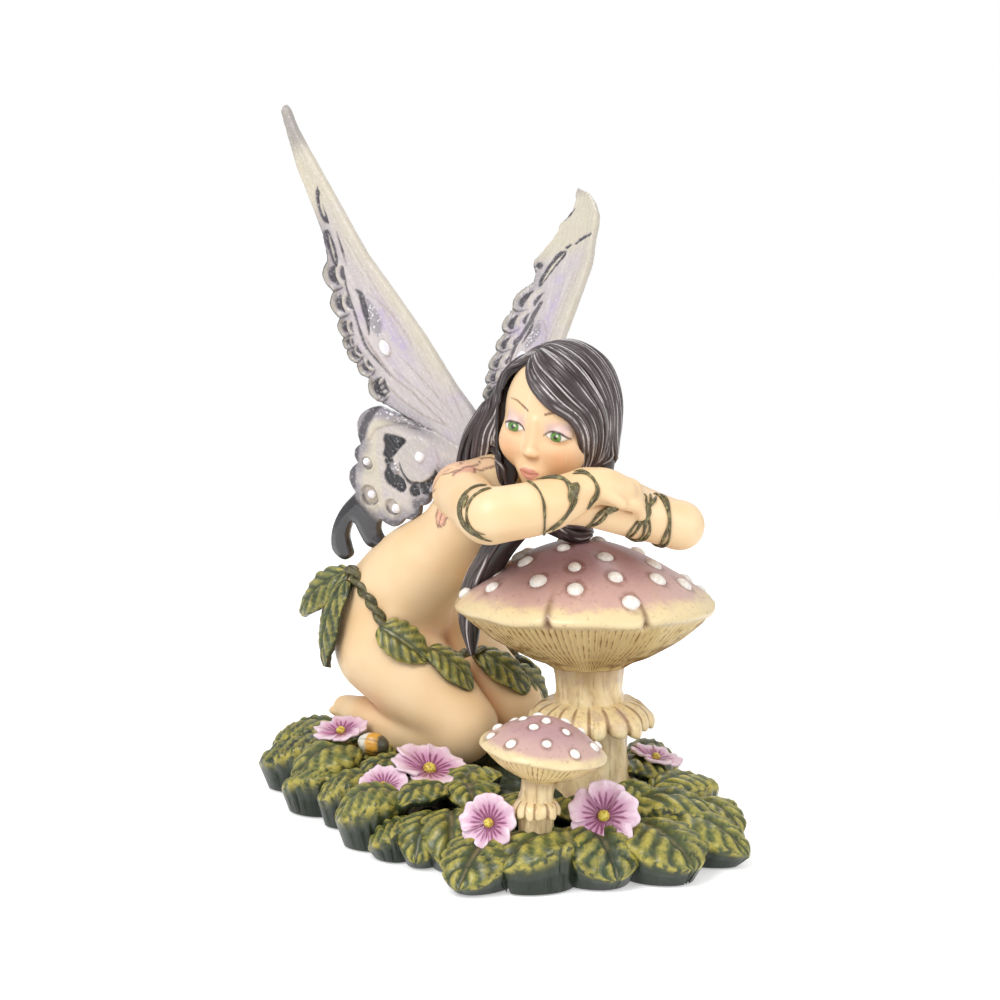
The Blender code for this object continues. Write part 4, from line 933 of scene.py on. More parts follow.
# A thick leaf with a sunk middle rib, plump panels between its side veins, and a toothed edge; a floor
# makes its sides walls.
def addLeaf(shell, base, tip, width, up, thickness, arch=1.8, veins=6, blunt=0.8, teeth=0.1, plump=0.8,
            floor=None, phase=0.0, rows=32, columns=21):
    base, tip, up = (np.asarray(value, float) for value in (base, tip, up))
    along = tip - base
    length = np.linalg.norm(along)
    side = unit(np.cross(along, up))
    lift = unit(np.cross(side, along))
    steps = 0.5 - 0.5 * np.cos(math.pi * np.linspace(0, 1, rows))
    share, across = np.meshgrid(steps, np.linspace(-1, 1, columns), indexing="ij")
    wide = np.sqrt(np.clip(1 - ((share - 0.45) / 0.551) ** 2, 0, 1))
    wide = np.where(share < 0.45, 0.25 + 0.75 * np.sqrt(np.clip(1 - ((0.45 - share) / 0.45) ** 2, 0, 1)),
                    wide)
    narrow = 0.14 + 0.86 * np.sin(math.pi * share**0.8) ** 0.8
    reach = np.abs(across)
    turned = share * veins - 1.5 * reach + 0.35 * np.sign(across) + phase
    notch = np.abs(np.sin(math.pi * (share * veins - 1.5 + 0.35 * np.sign(across) + phase))) ** 0.5
    plain = 0.5 * width * (blunt * wide + (1 - blunt) * narrow)
    half = plain * (1 - teeth + 2 * teeth * notch)
    panel = np.abs(np.sin(math.pi * turned)) ** 0.8 * ramp(0.03, 0.25, reach) * ramp(1.1, 0.85, reach)
    rib = np.exp(-((reach / 0.06) ** 2))
    height = (arch * np.sin(math.pi * share) + 0.25 * half * (1 - across**2)
              - 0.12 * half * np.exp(-((across / 0.16) ** 2)))
    height = height + plump * panel * np.minimum(1, half / 4) + 0.35 * rib
    height = (height + 0.35 * np.sin(share * 11 + phase * 3 + across * 2) * reach**2
              + 0.5 * plump * (notch - 0.6) * reach**4)
    top = base + along * share[..., None] + side * (across * half)[..., None] + lift * height[..., None]
    thin = thickness * (1 - 0.5 * reach**3)
    bottom = top - lift * thin[..., None] + side * (-0.1 * across * half)[..., None]
    if floor is not None:
        below = np.minimum(bottom[..., 2],
                           floor + 0.25 * np.maximum(0, top[..., 2] - floor) * (1 - reach**6))
        bottom = base + along * (0.04 + 0.84 * share[..., None]) + side * (across * plain * 0.78)[..., None]
        bottom[..., 2] = np.maximum(floor, below)
    edge = ramp(0.82, 1.0, reach)
    shell.plate(top, bottom, panel=panel, rib=rib, edge=edge, tone=np.full(share.shape, phase % 1.0),
                over=np.ones(share.shape), under=("over", "panel", "edge"))


def leafPaint(name, look):
    paint = Paint(name, look)
    over = paint.mask("over").between(0.55, 1.0)
    paint.base(paint.noise(5, 3).between(0.35, 0.75), "leaf", "vein")
    paint.over(paint.mask("tone") * 0.3 * over, "edge")
    brushed = (paint.mask("panel") * 0.6 + paint.noise(2.6, 3, 0.6) * 0.95 + paint.noise(0.7, 4, 0.7) * 0.5
               - 0.93).between(0.0, 0.75)
    paint.over(brushed * 0.9 * over, "leafLight")
    groove = 1 - paint.mask("panel").between(0.05, 0.55)
    paint.over(groove * 0.6 * over, "vein")
    paint.over(paint.mask("rib") * paint.noise(3, 3).between(0.35, 0.6) * 0.7 * over, "rib")
    paint.over(paint.mask("edge") * paint.noise(2, 3).between(0.4, 0.6) * over * 0.8, "leafLight")
    paint.over((1 - over) * 0.85, "vein")
    rough = paint.noise(2, 3) * 0.25 + (look["roughness"] - 0.12)
    return paint.finish(rough, look["coat"], 0.25, bump=(0.7, 4), depth=0.06)


def makeBed():
    look = bedLook
    outline = smoothPath([*bedOutline, bedOutline[0]], 4)[:-1]
    field = Field(*look["box"], look["cell"])
    points = field.all()[1]
    flat = points[:, :, 0, :2]
    inside = outlineDistance(flat, outline)
    x, y = flat[..., 0], flat[..., 1]
    lumps = (np.sin(x * 0.55 + 1.3 * np.sin(y * 0.31)) * np.sin(y * 0.6 + 1.1 * np.sin(x * 0.27))
             + 0.5 * np.sin(x * 1.25 + y * 0.7) * np.sin(y * 1.4 - x * 0.5))
    top = bedTop + 0.6 + 1.5 * lumps - 5.0 * ramp(-9, 0, inside)
    upper = points[..., 2] - top[..., None]
    edge = np.repeat((inside + 0.8 + 0.6 * lumps)[..., None], field.counts[2], axis=2)
    rounded = smoothMin(-upper, -edge, 1.6)
    field.values = -smoothMin(rounded, points[..., 2], 0.32).astype(np.float32)
    hollow = field.hollow(3.0)
    corners, quads = field.skin()
    shell = Shell()
    shell.add(corners, quads, fold=ramp(-0.05, 0.25, field.sample(hollow, corners)))
    paint = Paint("ground", look)
    paint.base(paint.noise(2.5, 4).between(0.45, 0.75), "ground", "moss")
    paint.over(paint.mask("fold"), "vein")
    shell.piece("ground", paint.finish(paint.noise(2, 3) * 0.3 + 0.35, look["coat"], bump=(1.2, 4),
                                       depth=0.25))
    shell = Shell()
    upward = (0, 0, 1)
    for number, (base, tip, width) in enumerate(rimLeaves):
        addLeaf(shell, onBed(base), onBed(tip), width * 1.2, upward, 4.0, arch=1.5 + 0.7 * (number % 3),
                veins=5 + number % 2, blunt=0.62, teeth=0.09, plump=0.85, floor=0.4, phase=number * 0.37)
    for number, (base, tip, width) in enumerate(topLeaves):
        addLeaf(shell, onBed(base), onBed(tip), width * 1.12, upward, 3.0, arch=1.3, veins=5, blunt=0.6,
                plump=0.8, phase=number * 0.41 + 0.2)
    back = backLeaves
    for number in range(back["count"]):
        angle = math.radians(back["start"] + back["apart"] * number)
        out = np.array((math.cos(angle), math.sin(angle), 0))
        tip = np.array(back["centre"]) + out * (*back["reach"], 0)
        base = tip - back["length"] * out + (0, 0, back["rise"])
        addLeaf(shell, base, tip, back["width"], upward, 4.0, arch=1.8, veins=6, blunt=0.62, plump=0.85,
                floor=0.4, phase=number * 0.29 + 0.1)
    shell.piece("bed_leaves", leafPaint("painted_leaves", look))


print("bed")
makeBed()

# Toadstools.
capLook = {
    "crown": "#BB9498", "middle": "#D2ADA4", "rim": "#EED8A8", "crack": "#74492F", "dot": "#FFFDF8",
    "dotShade": "#DCCFBF", "gill": "#F6DCA2", "gillDark": "#9A6E38", "stem": "#F4DAA6",
    "stemDark": "#94693A", "ring": "#FAE6B6", "roughness": 0.36, "coat": 0.35,
}
toadstools = {
    "big": {
        "foot": (22.3, 8.0), "radius": 30.5, "top": 60.4, "rim": 45.6, "gill": 30.2, "stem": 8.2,
        "ringRadius": 13.9, "ringTop": 22.4, "ringDrop": 6.0, "shift": -3.2, "tilt": ("X", -4),
        "pivot": 28.2, "dot": 2.0, "gills": 116, "cracks": ((252, 1.7), (296, 1.5)),
        "dots": (
            (-4.4, -6.4), (-13.4, -7.5), (5, -10.8), (-2.2, -15.3), (-10.7, -17.5), (6.9, -17.8),
            (-2.4, -22.2), (-21.3, -11.2), (16.7, -12.7), (10.1, -24.1), (-14.5, -1), (-20.1, -3.7),
            (-23.9, 3.4), (-27.8, -0.1), (16.1, -5.1), (23, -6.8), (4, 1), (13, 4), (-4, 7), (-13, 9),
            (5, 12), (15, 13), (-6, 16), (-18, 13), (24, 3), (22, 12), (3, 21), (12, 22), (-10, 23),
            (-22, 18), (-1, 27), (19, 20), (27.5, 9),
        ),
    },
    "small": {
        "foot": (8.0, -37.5), "radius": 14.3, "top": 30.0, "rim": 22.8, "gill": 15.6, "stem": 3.9,
        "ringRadius": 5.2, "ringTop": 11.0, "ringDrop": 3.2, "shift": 0.0, "tilt": ("Y", 8),
        "pivot": 11.0, "dot": 1.2, "gills": 68, "cracks": (),
        "dots": (
            (-5.4, 0.4), (-0.4, -2.4), (-3, -4.8), (4.2, -4.5), (-10.6, 2.3), (-12, -2.3), (-7.6, -8.6),
            (0.1, -9.6), (10.9, -2.6), (6.5, -9.6), (-2, 4.5), (4, 2.5), (-7, 6.5), (1, 9.5), (8, 5),
            (-4, 11.5), (6.5, 10.5), (12, 3),
        ),
    },
}


# Points of an upright toadstool, moved and tilted as it stands.
def lean(shape, points):
    points = np.array(points, float)
    foot = np.array((*shape["foot"], bedTop))
    points[..., 0] += shape["shift"] * np.maximum(0, points[..., 2] / shape["top"])
    pivot = np.array((0, 0, shape["pivot"]))
    axis, angle = shape["tilt"]
    turn = np.array(Matrix.Rotation(math.radians(angle), 3, axis))
    tilted = (points - pivot) @ turn.T + pivot
    share = ramp(-0.5, 0.5, points[..., 2] - shape["pivot"])[..., None]
    return points * (1 - share) + tilted * share + foot


# A closed round skin from (radius, height) rows that start and end on its axis.
def revolve(shell, shape, profile, sides, wave=None, **masks):
    profile = np.asarray(profile, float)
    angle = np.arange(sides) * 2 * math.pi / sides
    inner = profile[1:-1]
    radius = np.repeat(inner[:, :1], sides, 1)
    height = np.repeat(inner[:, 1:2], sides, 1)
    turned = np.repeat(angle[None], len(inner), 0)
    if wave is not None:
        radius, height = wave(radius, height, turned)
    points = np.stack([radius * np.cos(turned), radius * np.sin(turned), height], -1).reshape(-1, 3)
    points = np.concatenate([points, [[0, 0, profile[0, 1]], [0, 0, profile[-1, 1]]]])
    spread = {}
    for key, values in masks.items():
        values = np.asarray(values(radius, height, turned) if callable(values)
                            else np.full(radius.shape, values))
        spread[key] = np.concatenate([values.reshape(-1), [values[0, 0], values[-1, 0]]])
    shell.add(lean(shape, points), rounds(len(inner), sides), **spread)


def domeHeight(shape, distance):
    share = np.clip(distance / shape["radius"], 0, 1)
    return shape["rim"] + (shape["top"] - shape["rim"]) * (1 - share**1.75)


def makeToadstool(name, shape):
    look = capLook
    size = shape["radius"]
    lip = 0.07 * size
    rim, gill, stem = shape["rim"], shape["gill"], shape["stem"]
    drop = rim - lip - gill
    sides = shape["gills"] * 4
    outer = [(0, shape["top"])]
    for share in np.linspace(0.03, 0.965, 34):
        outer.append((share * size, float(domeHeight(shape, share * size))))
    outer += [(0.985 * size, rim - 0.02 * lip), (0.998 * size, rim - 0.22 * lip), (size, rim - 0.45 * lip),
              (0.995 * size, rim - 0.7 * lip), (0.98 * size, rim - 0.92 * lip),
              (0.955 * size, rim - 1.0 * lip)]
    gillShare = smoothPath([(0.955, 0.0), (0.86, 0.19), (0.74, 0.42), (0.6, 0.61), (0.47, 0.77),
                            (0.36, 0.88), (1.05 * stem / size, 1.0)], 5)
    under = [(share * size, rim - lip - down * drop) for share, down in gillShare[1:]]
    under.append((0.0, gill + 0.2))

    def notch(angle):
        total = np.zeros(angle.shape)
        for degrees, wide in shape["cracks"]:
            gap = (np.degrees(angle) - degrees + 180) % 360 - 180
            total = total + np.exp(-((gap / wide) ** 2))
        return total

    def waves(radius, height, angle):
        edge = ramp(0.7, 1.0, radius / size)
        below = ramp(rim - 0.8 * lip, rim - 1.6 * lip, height)
        uneven = 0.012 * size * (np.sin(angle * 7 + 1) + 0.6 * np.sin(angle * 13 + 2))
        cut = notch(angle) * edge
        height = height + edge * uneven * 0.7 + cut * 0.04 * size * (1 - below)
        ridge = np.abs((angle * shape["gills"] / (2 * math.pi)) % 1 - 0.5) * 2
        fine = 1 + 0.5 * np.sin(angle * 11 + 1) * np.sin(angle * 5)
        height = height - below * 0.026 * size * fine * (ridge - 0.5) * ramp(0.2, 0.5, radius / size)
        return radius * (1 - 0.02 * cut * (1 - below)), height

    # A painted shadow on the cap round each raised dot.
    def halo(radius, height, angle):
        x, y = radius * np.cos(angle), radius * np.sin(angle)
        nearest = np.min([np.hypot(x - a, y - b) for a, b in shape["dots"]], axis=0)
        return ramp(1.55, 1.1, nearest / shape["dot"]) * (height > rim - lip)

    cap = Shell()
    revolve(cap, shape, outer + under, sides, waves,
            edge=lambda r, h, a: np.clip(r / size, 0, 1) * (h > rim - 1.4 * lip),
            under=lambda r, h, a: ramp(rim - 0.9 * lip, rim - 1.25 * lip, h) * 1.0, halo=halo,
            inner=lambda r, h, a: ramp(0.75, 0.3, r / size),
            ridge=lambda r, h, a: np.abs((a * shape["gills"] / (2 * math.pi)) % 1 - 0.5) * 2,
            crack=lambda r, h, a: notch(a) * ramp(0.72, 0.98, r / size))
    paint = Paint(name + "_cap", look)
    edge = paint.mask("edge")
    wander = paint.noise(4, 4, 0.6) * 0.22 - 0.11
    paint.base((edge + wander).between(0.45, 0.85), "crown", "middle")
    paint.over((edge + wander).between(0.84, 0.98), "rim")
    paint.over(paint.noise(1.2, 4, 0.6).between(0.55, 0.75) * 0.35, "crack")
    paint.over(paint.mask("crack") * 0.8, "crack")
    # Painted shadow round the dots, in the crack brown.
    paint.over(paint.mask("halo") * paint.noise(2, 3).between(0.25, 0.6) * 0.6, "crack")
    uneven = paint.noise(3, 3, 0.6) * 1.3 - 0.42 - paint.mask("inner") * 0.12
    beneath = paint.mix((1 - paint.mask("ridge") + uneven).between(0.1, 0.6), "gillDark", "gill")
    paint.over(paint.mask("under"), beneath)
    rough = paint.noise(2, 3) * 0.2 + (look["roughness"] - 0.1)
    cap.piece(name + "_cap", paint.finish(rough, look["coat"], 0.2, bump=(0.9, 4), depth=0.06))
    dots = Shell()
    random = np.random.default_rng(11)
    for x, y in shape["dots"]:
        distance = math.hypot(x, y)
        height = float(domeHeight(shape, distance))
        slope = math.atan2(1.75 * (shape["top"] - rim) * (distance / size) ** 0.75 / size, 1.0)
        turn = np.array((Euler((0, slope, math.atan2(y, x)), "XYZ")).to_matrix())
        radius = shape["dot"] * random.uniform(0.85, 1.15)
        part = Shell()
        part.round((0, 0, 0), (radius, radius * random.uniform(0.85, 1.1), 0.62 * radius), turn, rings=8,
                   sides=14)
        points = part.points[0] * (1 + 0.05 * np.sin(part.points[0] * 3.1 / radius + x))
        dots.add(lean(shape, points + (x, y, height - 0.12 * radius)), part.faces[0])
    paint = Paint(name + "_dots", look)
    paint.base(paint.noise(0.9, 4, 0.65).between(0.4, 0.7) * 0.6, "dot", "dotShade")
    dots.piece(name + "_dots", paint.finish(0.4, 0.25, bump=(0.5, 4), depth=0.08))
    ringTop, ringDrop, ringRadius = shape["ringTop"], shape["ringDrop"], shape["ringRadius"]
    stalk = Shell()
    trunk = [(0, gill + 1.5), (1.04 * stem, gill + 1.4), (0.96 * stem, 0.9 * gill),
             (0.94 * stem, 0.8 * gill), (stem, ringTop), (1.02 * stem, 0.7 * ringTop),
             (1.0 * stem, 0.4 * ringTop), (1.1 * stem, 0.15 * ringTop), (1.3 * stem, -1.0),
             (1.3 * stem, -4), (0, -4)]
    trunk = [trunk[0], *[tuple(row) for row in smoothPath(trunk[1:-1], 5)], trunk[-1]]

    def grain(radius, height, angle):
        return radius + 0.05 * stem * np.sin(angle * 9 + np.sin(height * 0.5) * 1.2) * 0.6, height

    # The low mask is painted shade: darker at the stem's foot on the bed and just under the cap.
    revolve(stalk, shape, trunk, 72, grain,
            low=lambda r, h, a: np.maximum(ramp(8, 0, h), ramp(0.84 * gill, 0.99 * gill, h)),
            fold=lambda r, h, a: 0.35 * ramp(0.2, -0.9, np.sin(a * 9 + np.sin(h * 0.5) * 1.2)))
    folds = 20 if name == "big" else 12

    def crease(angle):
        return np.abs(np.sin(angle * folds / 2 + 0.5 * np.sin(angle * 3))) ** 0.6

    def ruffle(radius, height, angle):
        share = ramp(stem, ringRadius, radius)
        wave = crease(angle) * 2 - 1.2 + 0.5 * np.sin(angle * 7 + 1)
        return radius + share * wave * 0.055 * ringRadius, height - share * wave * 0.14 * ringDrop

    ring = [(0, ringTop + 0.2)]
    for out, down in ((0, -0.03), (0.35, 0.08), (0.7, 0.24), (0.95, 0.45), (1.06, 0.66), (1.04, 0.95),
                      (0.86, 1.02), (0.55, 0.86), (0.25, 0.72), (0, 0.66)):
        ring.append((0.97 * stem + out * (ringRadius - 0.97 * stem), ringTop - down * ringDrop))
    ring.append((0, ringTop - 0.7 * ringDrop))
    ring = [ring[0], *[tuple(row) for row in smoothPath(ring[1:-1], 4)], ring[-1]]
    revolve(stalk, shape, ring, folds * 10, ruffle, low=0.0,
            fold=lambda r, h, a: ramp(0.75, 0.25, crease(a)) * ramp(0.9 * stem, 0.8 * ringRadius, r))
    paint = Paint(name + "_stem", look)
    paint.base(paint.noise(3, 4, 0.6, stretch=(1, 1, 0.35)).between(0.35, 0.7), "stem", "ring")
    paint.over((paint.mask("fold") * 0.9 + paint.noise(1.5, 3) * 0.3 - 0.1).between(0.1, 0.9) * 0.8,
               "stemDark")
    paint.over(paint.noise(1.1, 4, 0.6, stretch=(1, 1, 0.14)).between(0.52, 0.7) * 0.45, "stemDark")
    paint.over(paint.noise(5, 3, 0.6).between(0.55, 0.72) * 0.4, "crown")
    # Painted shade at the stem's foot and under the cap.
    paint.over(paint.mask("low") * 0.5, "stemDark")
    stalk.piece(name + "_stem", paint.finish(paint.noise(2, 3) * 0.2 + (look["roughness"] - 0.1),
                                             look["coat"], bump=(0.8, 4), depth=0.07))


print("toadstools")
for name, shape in toadstools.items():
    makeToadstool(name, shape)

# Flowers and the bud.
flowerLook = {
    "petal": "#D397BB", "pale": "#F5DEEA", "streak": "#7A2E58", "eye": "#EBDD62", "eyeShade": "#B98A34",
    "roughness": 0.38,
}
# Flowers: centre, lean in degrees and radius.
flowers = (
    ((-38.5, 30, 8.4), (10, -8, 0), 6.8), ((-16.6, 3, 6.4), (18, 8, 20), 9.4),
    ((-27, -5, 4.6), (30, -10, 10), 6.0), ((-2.4, -39.5, 6.0), (58, -42, 0), 6.8),
    ((23.1, -36, 6.6), (62, 6, 0), 8.2), ((37, 15, 6.0), (2, 16, 0), 6.4),
)


def makeFlowers():
    look = flowerLook
    shell = Shell()
    eyes = Shell()
    for number, (centre, leaning, radius) in enumerate(flowers):
        turn = np.array(Euler([math.radians(angle) for angle in leaning], "XYZ").to_matrix())
        centre = onBed(centre)
        for petal in range(5):
            angle = petal * 2 * math.pi / 5 + number * 0.7
            share, across = np.meshgrid(np.linspace(0.03, 1, 18), np.linspace(-1, 1, 19), indexing="ij")
            fan = across * 0.74 * (0.55 + 0.45 * ramp(0, 0.5, share))
            frill = 0.03 * np.sin(across * 9 + petal * 2) - 0.06 * np.exp(-((across / 0.16) ** 2))
            reach = radius * share * (1 - 0.22 * np.abs(across) ** 3 + frill)
            x = reach * np.cos(fan)
            y = reach * np.sin(fan)
            z = 0.30 * radius * share**1.6 - 0.12 * radius * share**5 + 0.06 * radius * across * share
            z = (z + 0.035 * radius * np.sin(across * 8 + petal * 1.7) * share**3
                 - 0.03 * radius * np.exp(-((across / 0.12) ** 2)) * share)
            spot = np.stack([x * math.cos(angle) - y * math.sin(angle),
                             x * math.sin(angle) + y * math.cos(angle), z], -1)
            under = spot - np.array((0, 0, 1.0)) * (0.9 - 0.35 * share[..., None])
            rays = np.abs(np.sin(across * 7.5)) ** 2
            streak = (ramp(0.8, 0.3, share + 0.3 * rays)
                      + 0.6 * (1 - rays) * ramp(0.95, 0.45, share) * ramp(0.05, 0.3, share))
            shell.plate(spot @ turn.T + centre, under @ turn.T + centre, streak=np.clip(streak, 0, 1),
                        out=share)
        eyes.round(centre + turn @ np.array((0, 0, 0.4)), (0.17 * radius, 0.17 * radius, 0.16 * radius),
                   turn, 8, 12)
        foot = np.array((centre[0], centre[1], bedTop - 3))
        shell.tube(smoothPath([(*(centre + turn @ np.array((0, 0, -0.6))), 1.4),
                               (*(0.5 * centre + 0.5 * foot), 1.6), (*foot, 2.0)], 3), 8, streak=0.9,
                   out=0.0)
    paint = Paint("petals", look)
    paint.base(paint.mask("out").between(0.45, 1.0), "petal", "pale")
    paint.over(paint.noise(1.4, 4, 0.6).between(0.45, 0.7) * 0.4, "petal")
    paint.over((paint.mask("streak") + paint.noise(0.7, 3) * 0.7 - 0.45).between(0.1, 0.8) * 0.85, "streak")
    shell.piece("flowers", paint.finish(paint.noise(2, 2) * 0.15 + look["roughness"] - 0.08, 0.2,
                                        bump=(0.6, 3), depth=0.04))
    paint = Paint("flower_eyes", look)
    paint.base(paint.noise(0.6, 3).between(0.4, 0.65), "eye", "eyeShade")
    eyes.piece("flower_eyes", paint.finish(0.4, bump=(0.4, 3), depth=0.1))


# The bud: its place on the bed, degrees of turn, and half sizes.
budLook = {
    "centre": (-30.3, 20.5, 8.0), "turn": (0, 10, -12), "radii": (3.9, 2.7, 2.7), "white": "#E9E4D8",
    "amber": "#E3A63C", "brown": "#55503F", "dark": "#3A352A", "coat": 0.3,
}


def makeBud():
    look = budLook
    bud = Shell()
    turn = np.array(Euler([math.radians(angle) for angle in look["turn"]]).to_matrix())
    bud.round((0, 0, 0), look["radii"], None, 28, 40)
    points = bud.points[0]
    along = points[:, 0] / look["radii"][0]
    seam = np.cos(np.arctan2(points[:, 2], points[:, 1]) * 5)
    swell = (1 - 0.05 * ramp(0.75, 1.0, seam)) * (1 + 0.08 * along)
    points = points * np.stack([np.ones(len(points)), swell, swell], 1)
    bud.points[0] = points @ turn.T + onBed(look["centre"])
    bud.masks[0] = {"along": along, "seam": ramp(0.8, 1.0, seam)}
    paint = Paint("bud", look)
    wander = paint.mask("along") + paint.noise(2.4, 3) * 0.9 - 0.45
    paint.base(wander.between(-0.55, -0.2), "white", "amber")
    paint.over(wander.between(0.1, 0.4), "brown")
    paint.over(paint.noise(0.9, 3).between(0.55, 0.7) * 0.4, "dark")
    paint.over(paint.mask("seam") * 0.5, "dark")
    bud.piece("bud", paint.finish(paint.noise(1, 2) * 0.1 + 0.28, look["coat"], bump=(0.6, 3), depth=0.05))


print("flowers")
makeFlowers()
makeBud()

# Garland round the hips.
garlandLook = {
    "stalk": "#75704A", "stalkDark": "#3A3522", "leaf": "#4C5A36", "leafLight": "#D0C160",
    "vein": "#222B1A", "rib": "#B0A86C", "edge": "#A4A25C", "roughness": 0.38, "coat": 0.25,
}
# The stalk's knots: place and radius.
garlandStalk = (
    (-35.5, 36, 47.2, 1.7), (-33.8, 32.8, 44, 1.4), (-31.2, 29, 41.2, 1.4), (-28.8, 27.4, 37.5, 1.4),
    (-27, 26.8, 35, 1.5), (-20, 25.3, 30.5, 1.3), (-14, 26, 28.5, 1.3), (-9, 30, 28, 1.1),
    (-4, 37, 27, 1.1), (2.5, 38, 22.5, 1.1), (7, 40, 18, 1.0), (10, 46, 17, 1.0),
)
backStalk = (
    (-35.5, 36, 47.2, 1.5), (-38, 48, 43, 1.4), (-30, 57, 37, 1.4), (-15, 60, 31, 1.2), (0, 57, 24, 1.1),
    (10, 46, 17, 1.0),
)
# Leaves: base, tip, width and the way that the face points.
garlandLeaves = (
    ((-37, 34.5, 45), (-42.5, 33, 24), 10, (-0.95, -0.35, 0.1)),
    ((-37, 40, 46), (-49, 47, 34), 9, (-0.7, -0.6, 0.6)),
    ((-29, 26.4, 35.4), (-17.3, 23.6, 27.8), 8.5, (0, -0.85, 0.5)),
    ((-17.3, 25.6, 30.2), (-6.5, 23.8, 20.6), 8.5, (0.45, -0.5, 0.7)),
    ((-6, 36.8, 27), (7, 35.4, 17), 8, (0.4, -0.65, 0.65)),
    ((4, 40, 22), (11.5, 44, 9), 9, (0.9, -0.4, 0.2)), ((-38, 47, 44), (-42, 55, 24), 11, (-1, 0.4, 0)),
    ((-31, 57, 39), (-33, 63, 20), 11, (-0.4, 1, 0)), ((-19, 60, 34), (-19, 66, 16), 11, (0, 1, 0.1)),
    ((-6, 58, 29), (-4, 63, 12), 10, (0.4, 1, 0.1)), ((5, 52, 22), (9, 55, 7), 9, (0.8, 0.6, 0)),
)


# Two thin stems wound round each other along a path.
def twisted(shell, knots, turns, gap, **masks):
    path = smoothPath(knots, 10)
    along = np.gradient(path[:, :3], axis=0)
    along /= np.linalg.norm(along, axis=1, keepdims=True)
    side = np.cross(along, (0.3, 0.2, 1.0))
    side /= np.linalg.norm(side, axis=1, keepdims=True)
    lift = np.cross(side, along)
    length = np.concatenate([[0], np.cumsum(np.linalg.norm(np.diff(path[:, :3], axis=0), axis=1))])
    for start in (0.0, math.pi):
        angle = length * turns + start
        strand = path.copy()
        strand[:, :3] += (np.cos(angle)[:, None] * side
                          + np.sin(angle)[:, None] * lift) * (gap * path[:, 3:4])
        strand[:, 3] *= 0.62
        shell.tube(strand, 10, **masks)


def makeGarland():
    look = garlandLook
    shell = Shell()
    twisted(shell, onBed(garlandStalk), 0.75, 0.5)
    twisted(shell, onBed(backStalk), 0.75, 0.5)
    paint = Paint("garland_stalk", look)
    paint.base(paint.noise(1.5, 4).between(0.35, 0.7), "stalk", "stalkDark")
    shell.piece("garland_stalk", paint.finish(0.45, 0.2, bump=(0.6, 3), depth=0.06))
    leaves = Shell()
    for number, (base, tip, width, up) in enumerate(garlandLeaves):
        addLeaf(leaves, onBed(base), onBed(tip), width * 1.08, up, 1.9, arch=1.2, veins=5, blunt=0.55,
                teeth=0.08, plump=0.7, phase=number * 0.33)
    leaves.piece("garland_leaves", leafPaint("garland_leaf", look))


print("garland")
makeGarland()

# Wings. Each is drawn in its own frame: x along the span, y along the chord, z out of the face, in mm.
wingLook = {
    "cream": "#DAD1B7", "pearl": "#D5CCCC", "shade": "#B4A8AB", "lilac": "#BBA8D4", "grey": "#827D88",
    "dark": "#3F3B43", "black": "#1E1B21", "vein": "#8A7052", "spark": "#FFFFFF", "charcoal": "#29262B",
    "roughness": 0.34, "coat": 0.35, "cell": 0.36,
}
hindTails = (
    (0.6, 39.0), (-1.4, 44.0), (-4.8, 48.4), (-9.0, 50.8), (-12.5, 49.2), (-12.5, 46.5), (-10.6, 45.8),
    (-7.6, 44.7), (-5.2, 41.4), (-8.5, 41.2), (-11.6, 40.9), (-13.6, 38.7), (-13.8, 35.6), (-11.7, 35.8),
    (-9.6, 35.6), (-7.4, 33.6),
)
hindNotches = ((17.2, 19.4), (11.0, 28.8), (7.3, 32.0), (1.2, 36.6))
hindLower = ((-7.4, 33.6), (-9.8, 27.2), (-8.6, 21.4), (-6.6, 17.4), (-4.2, 12.0))
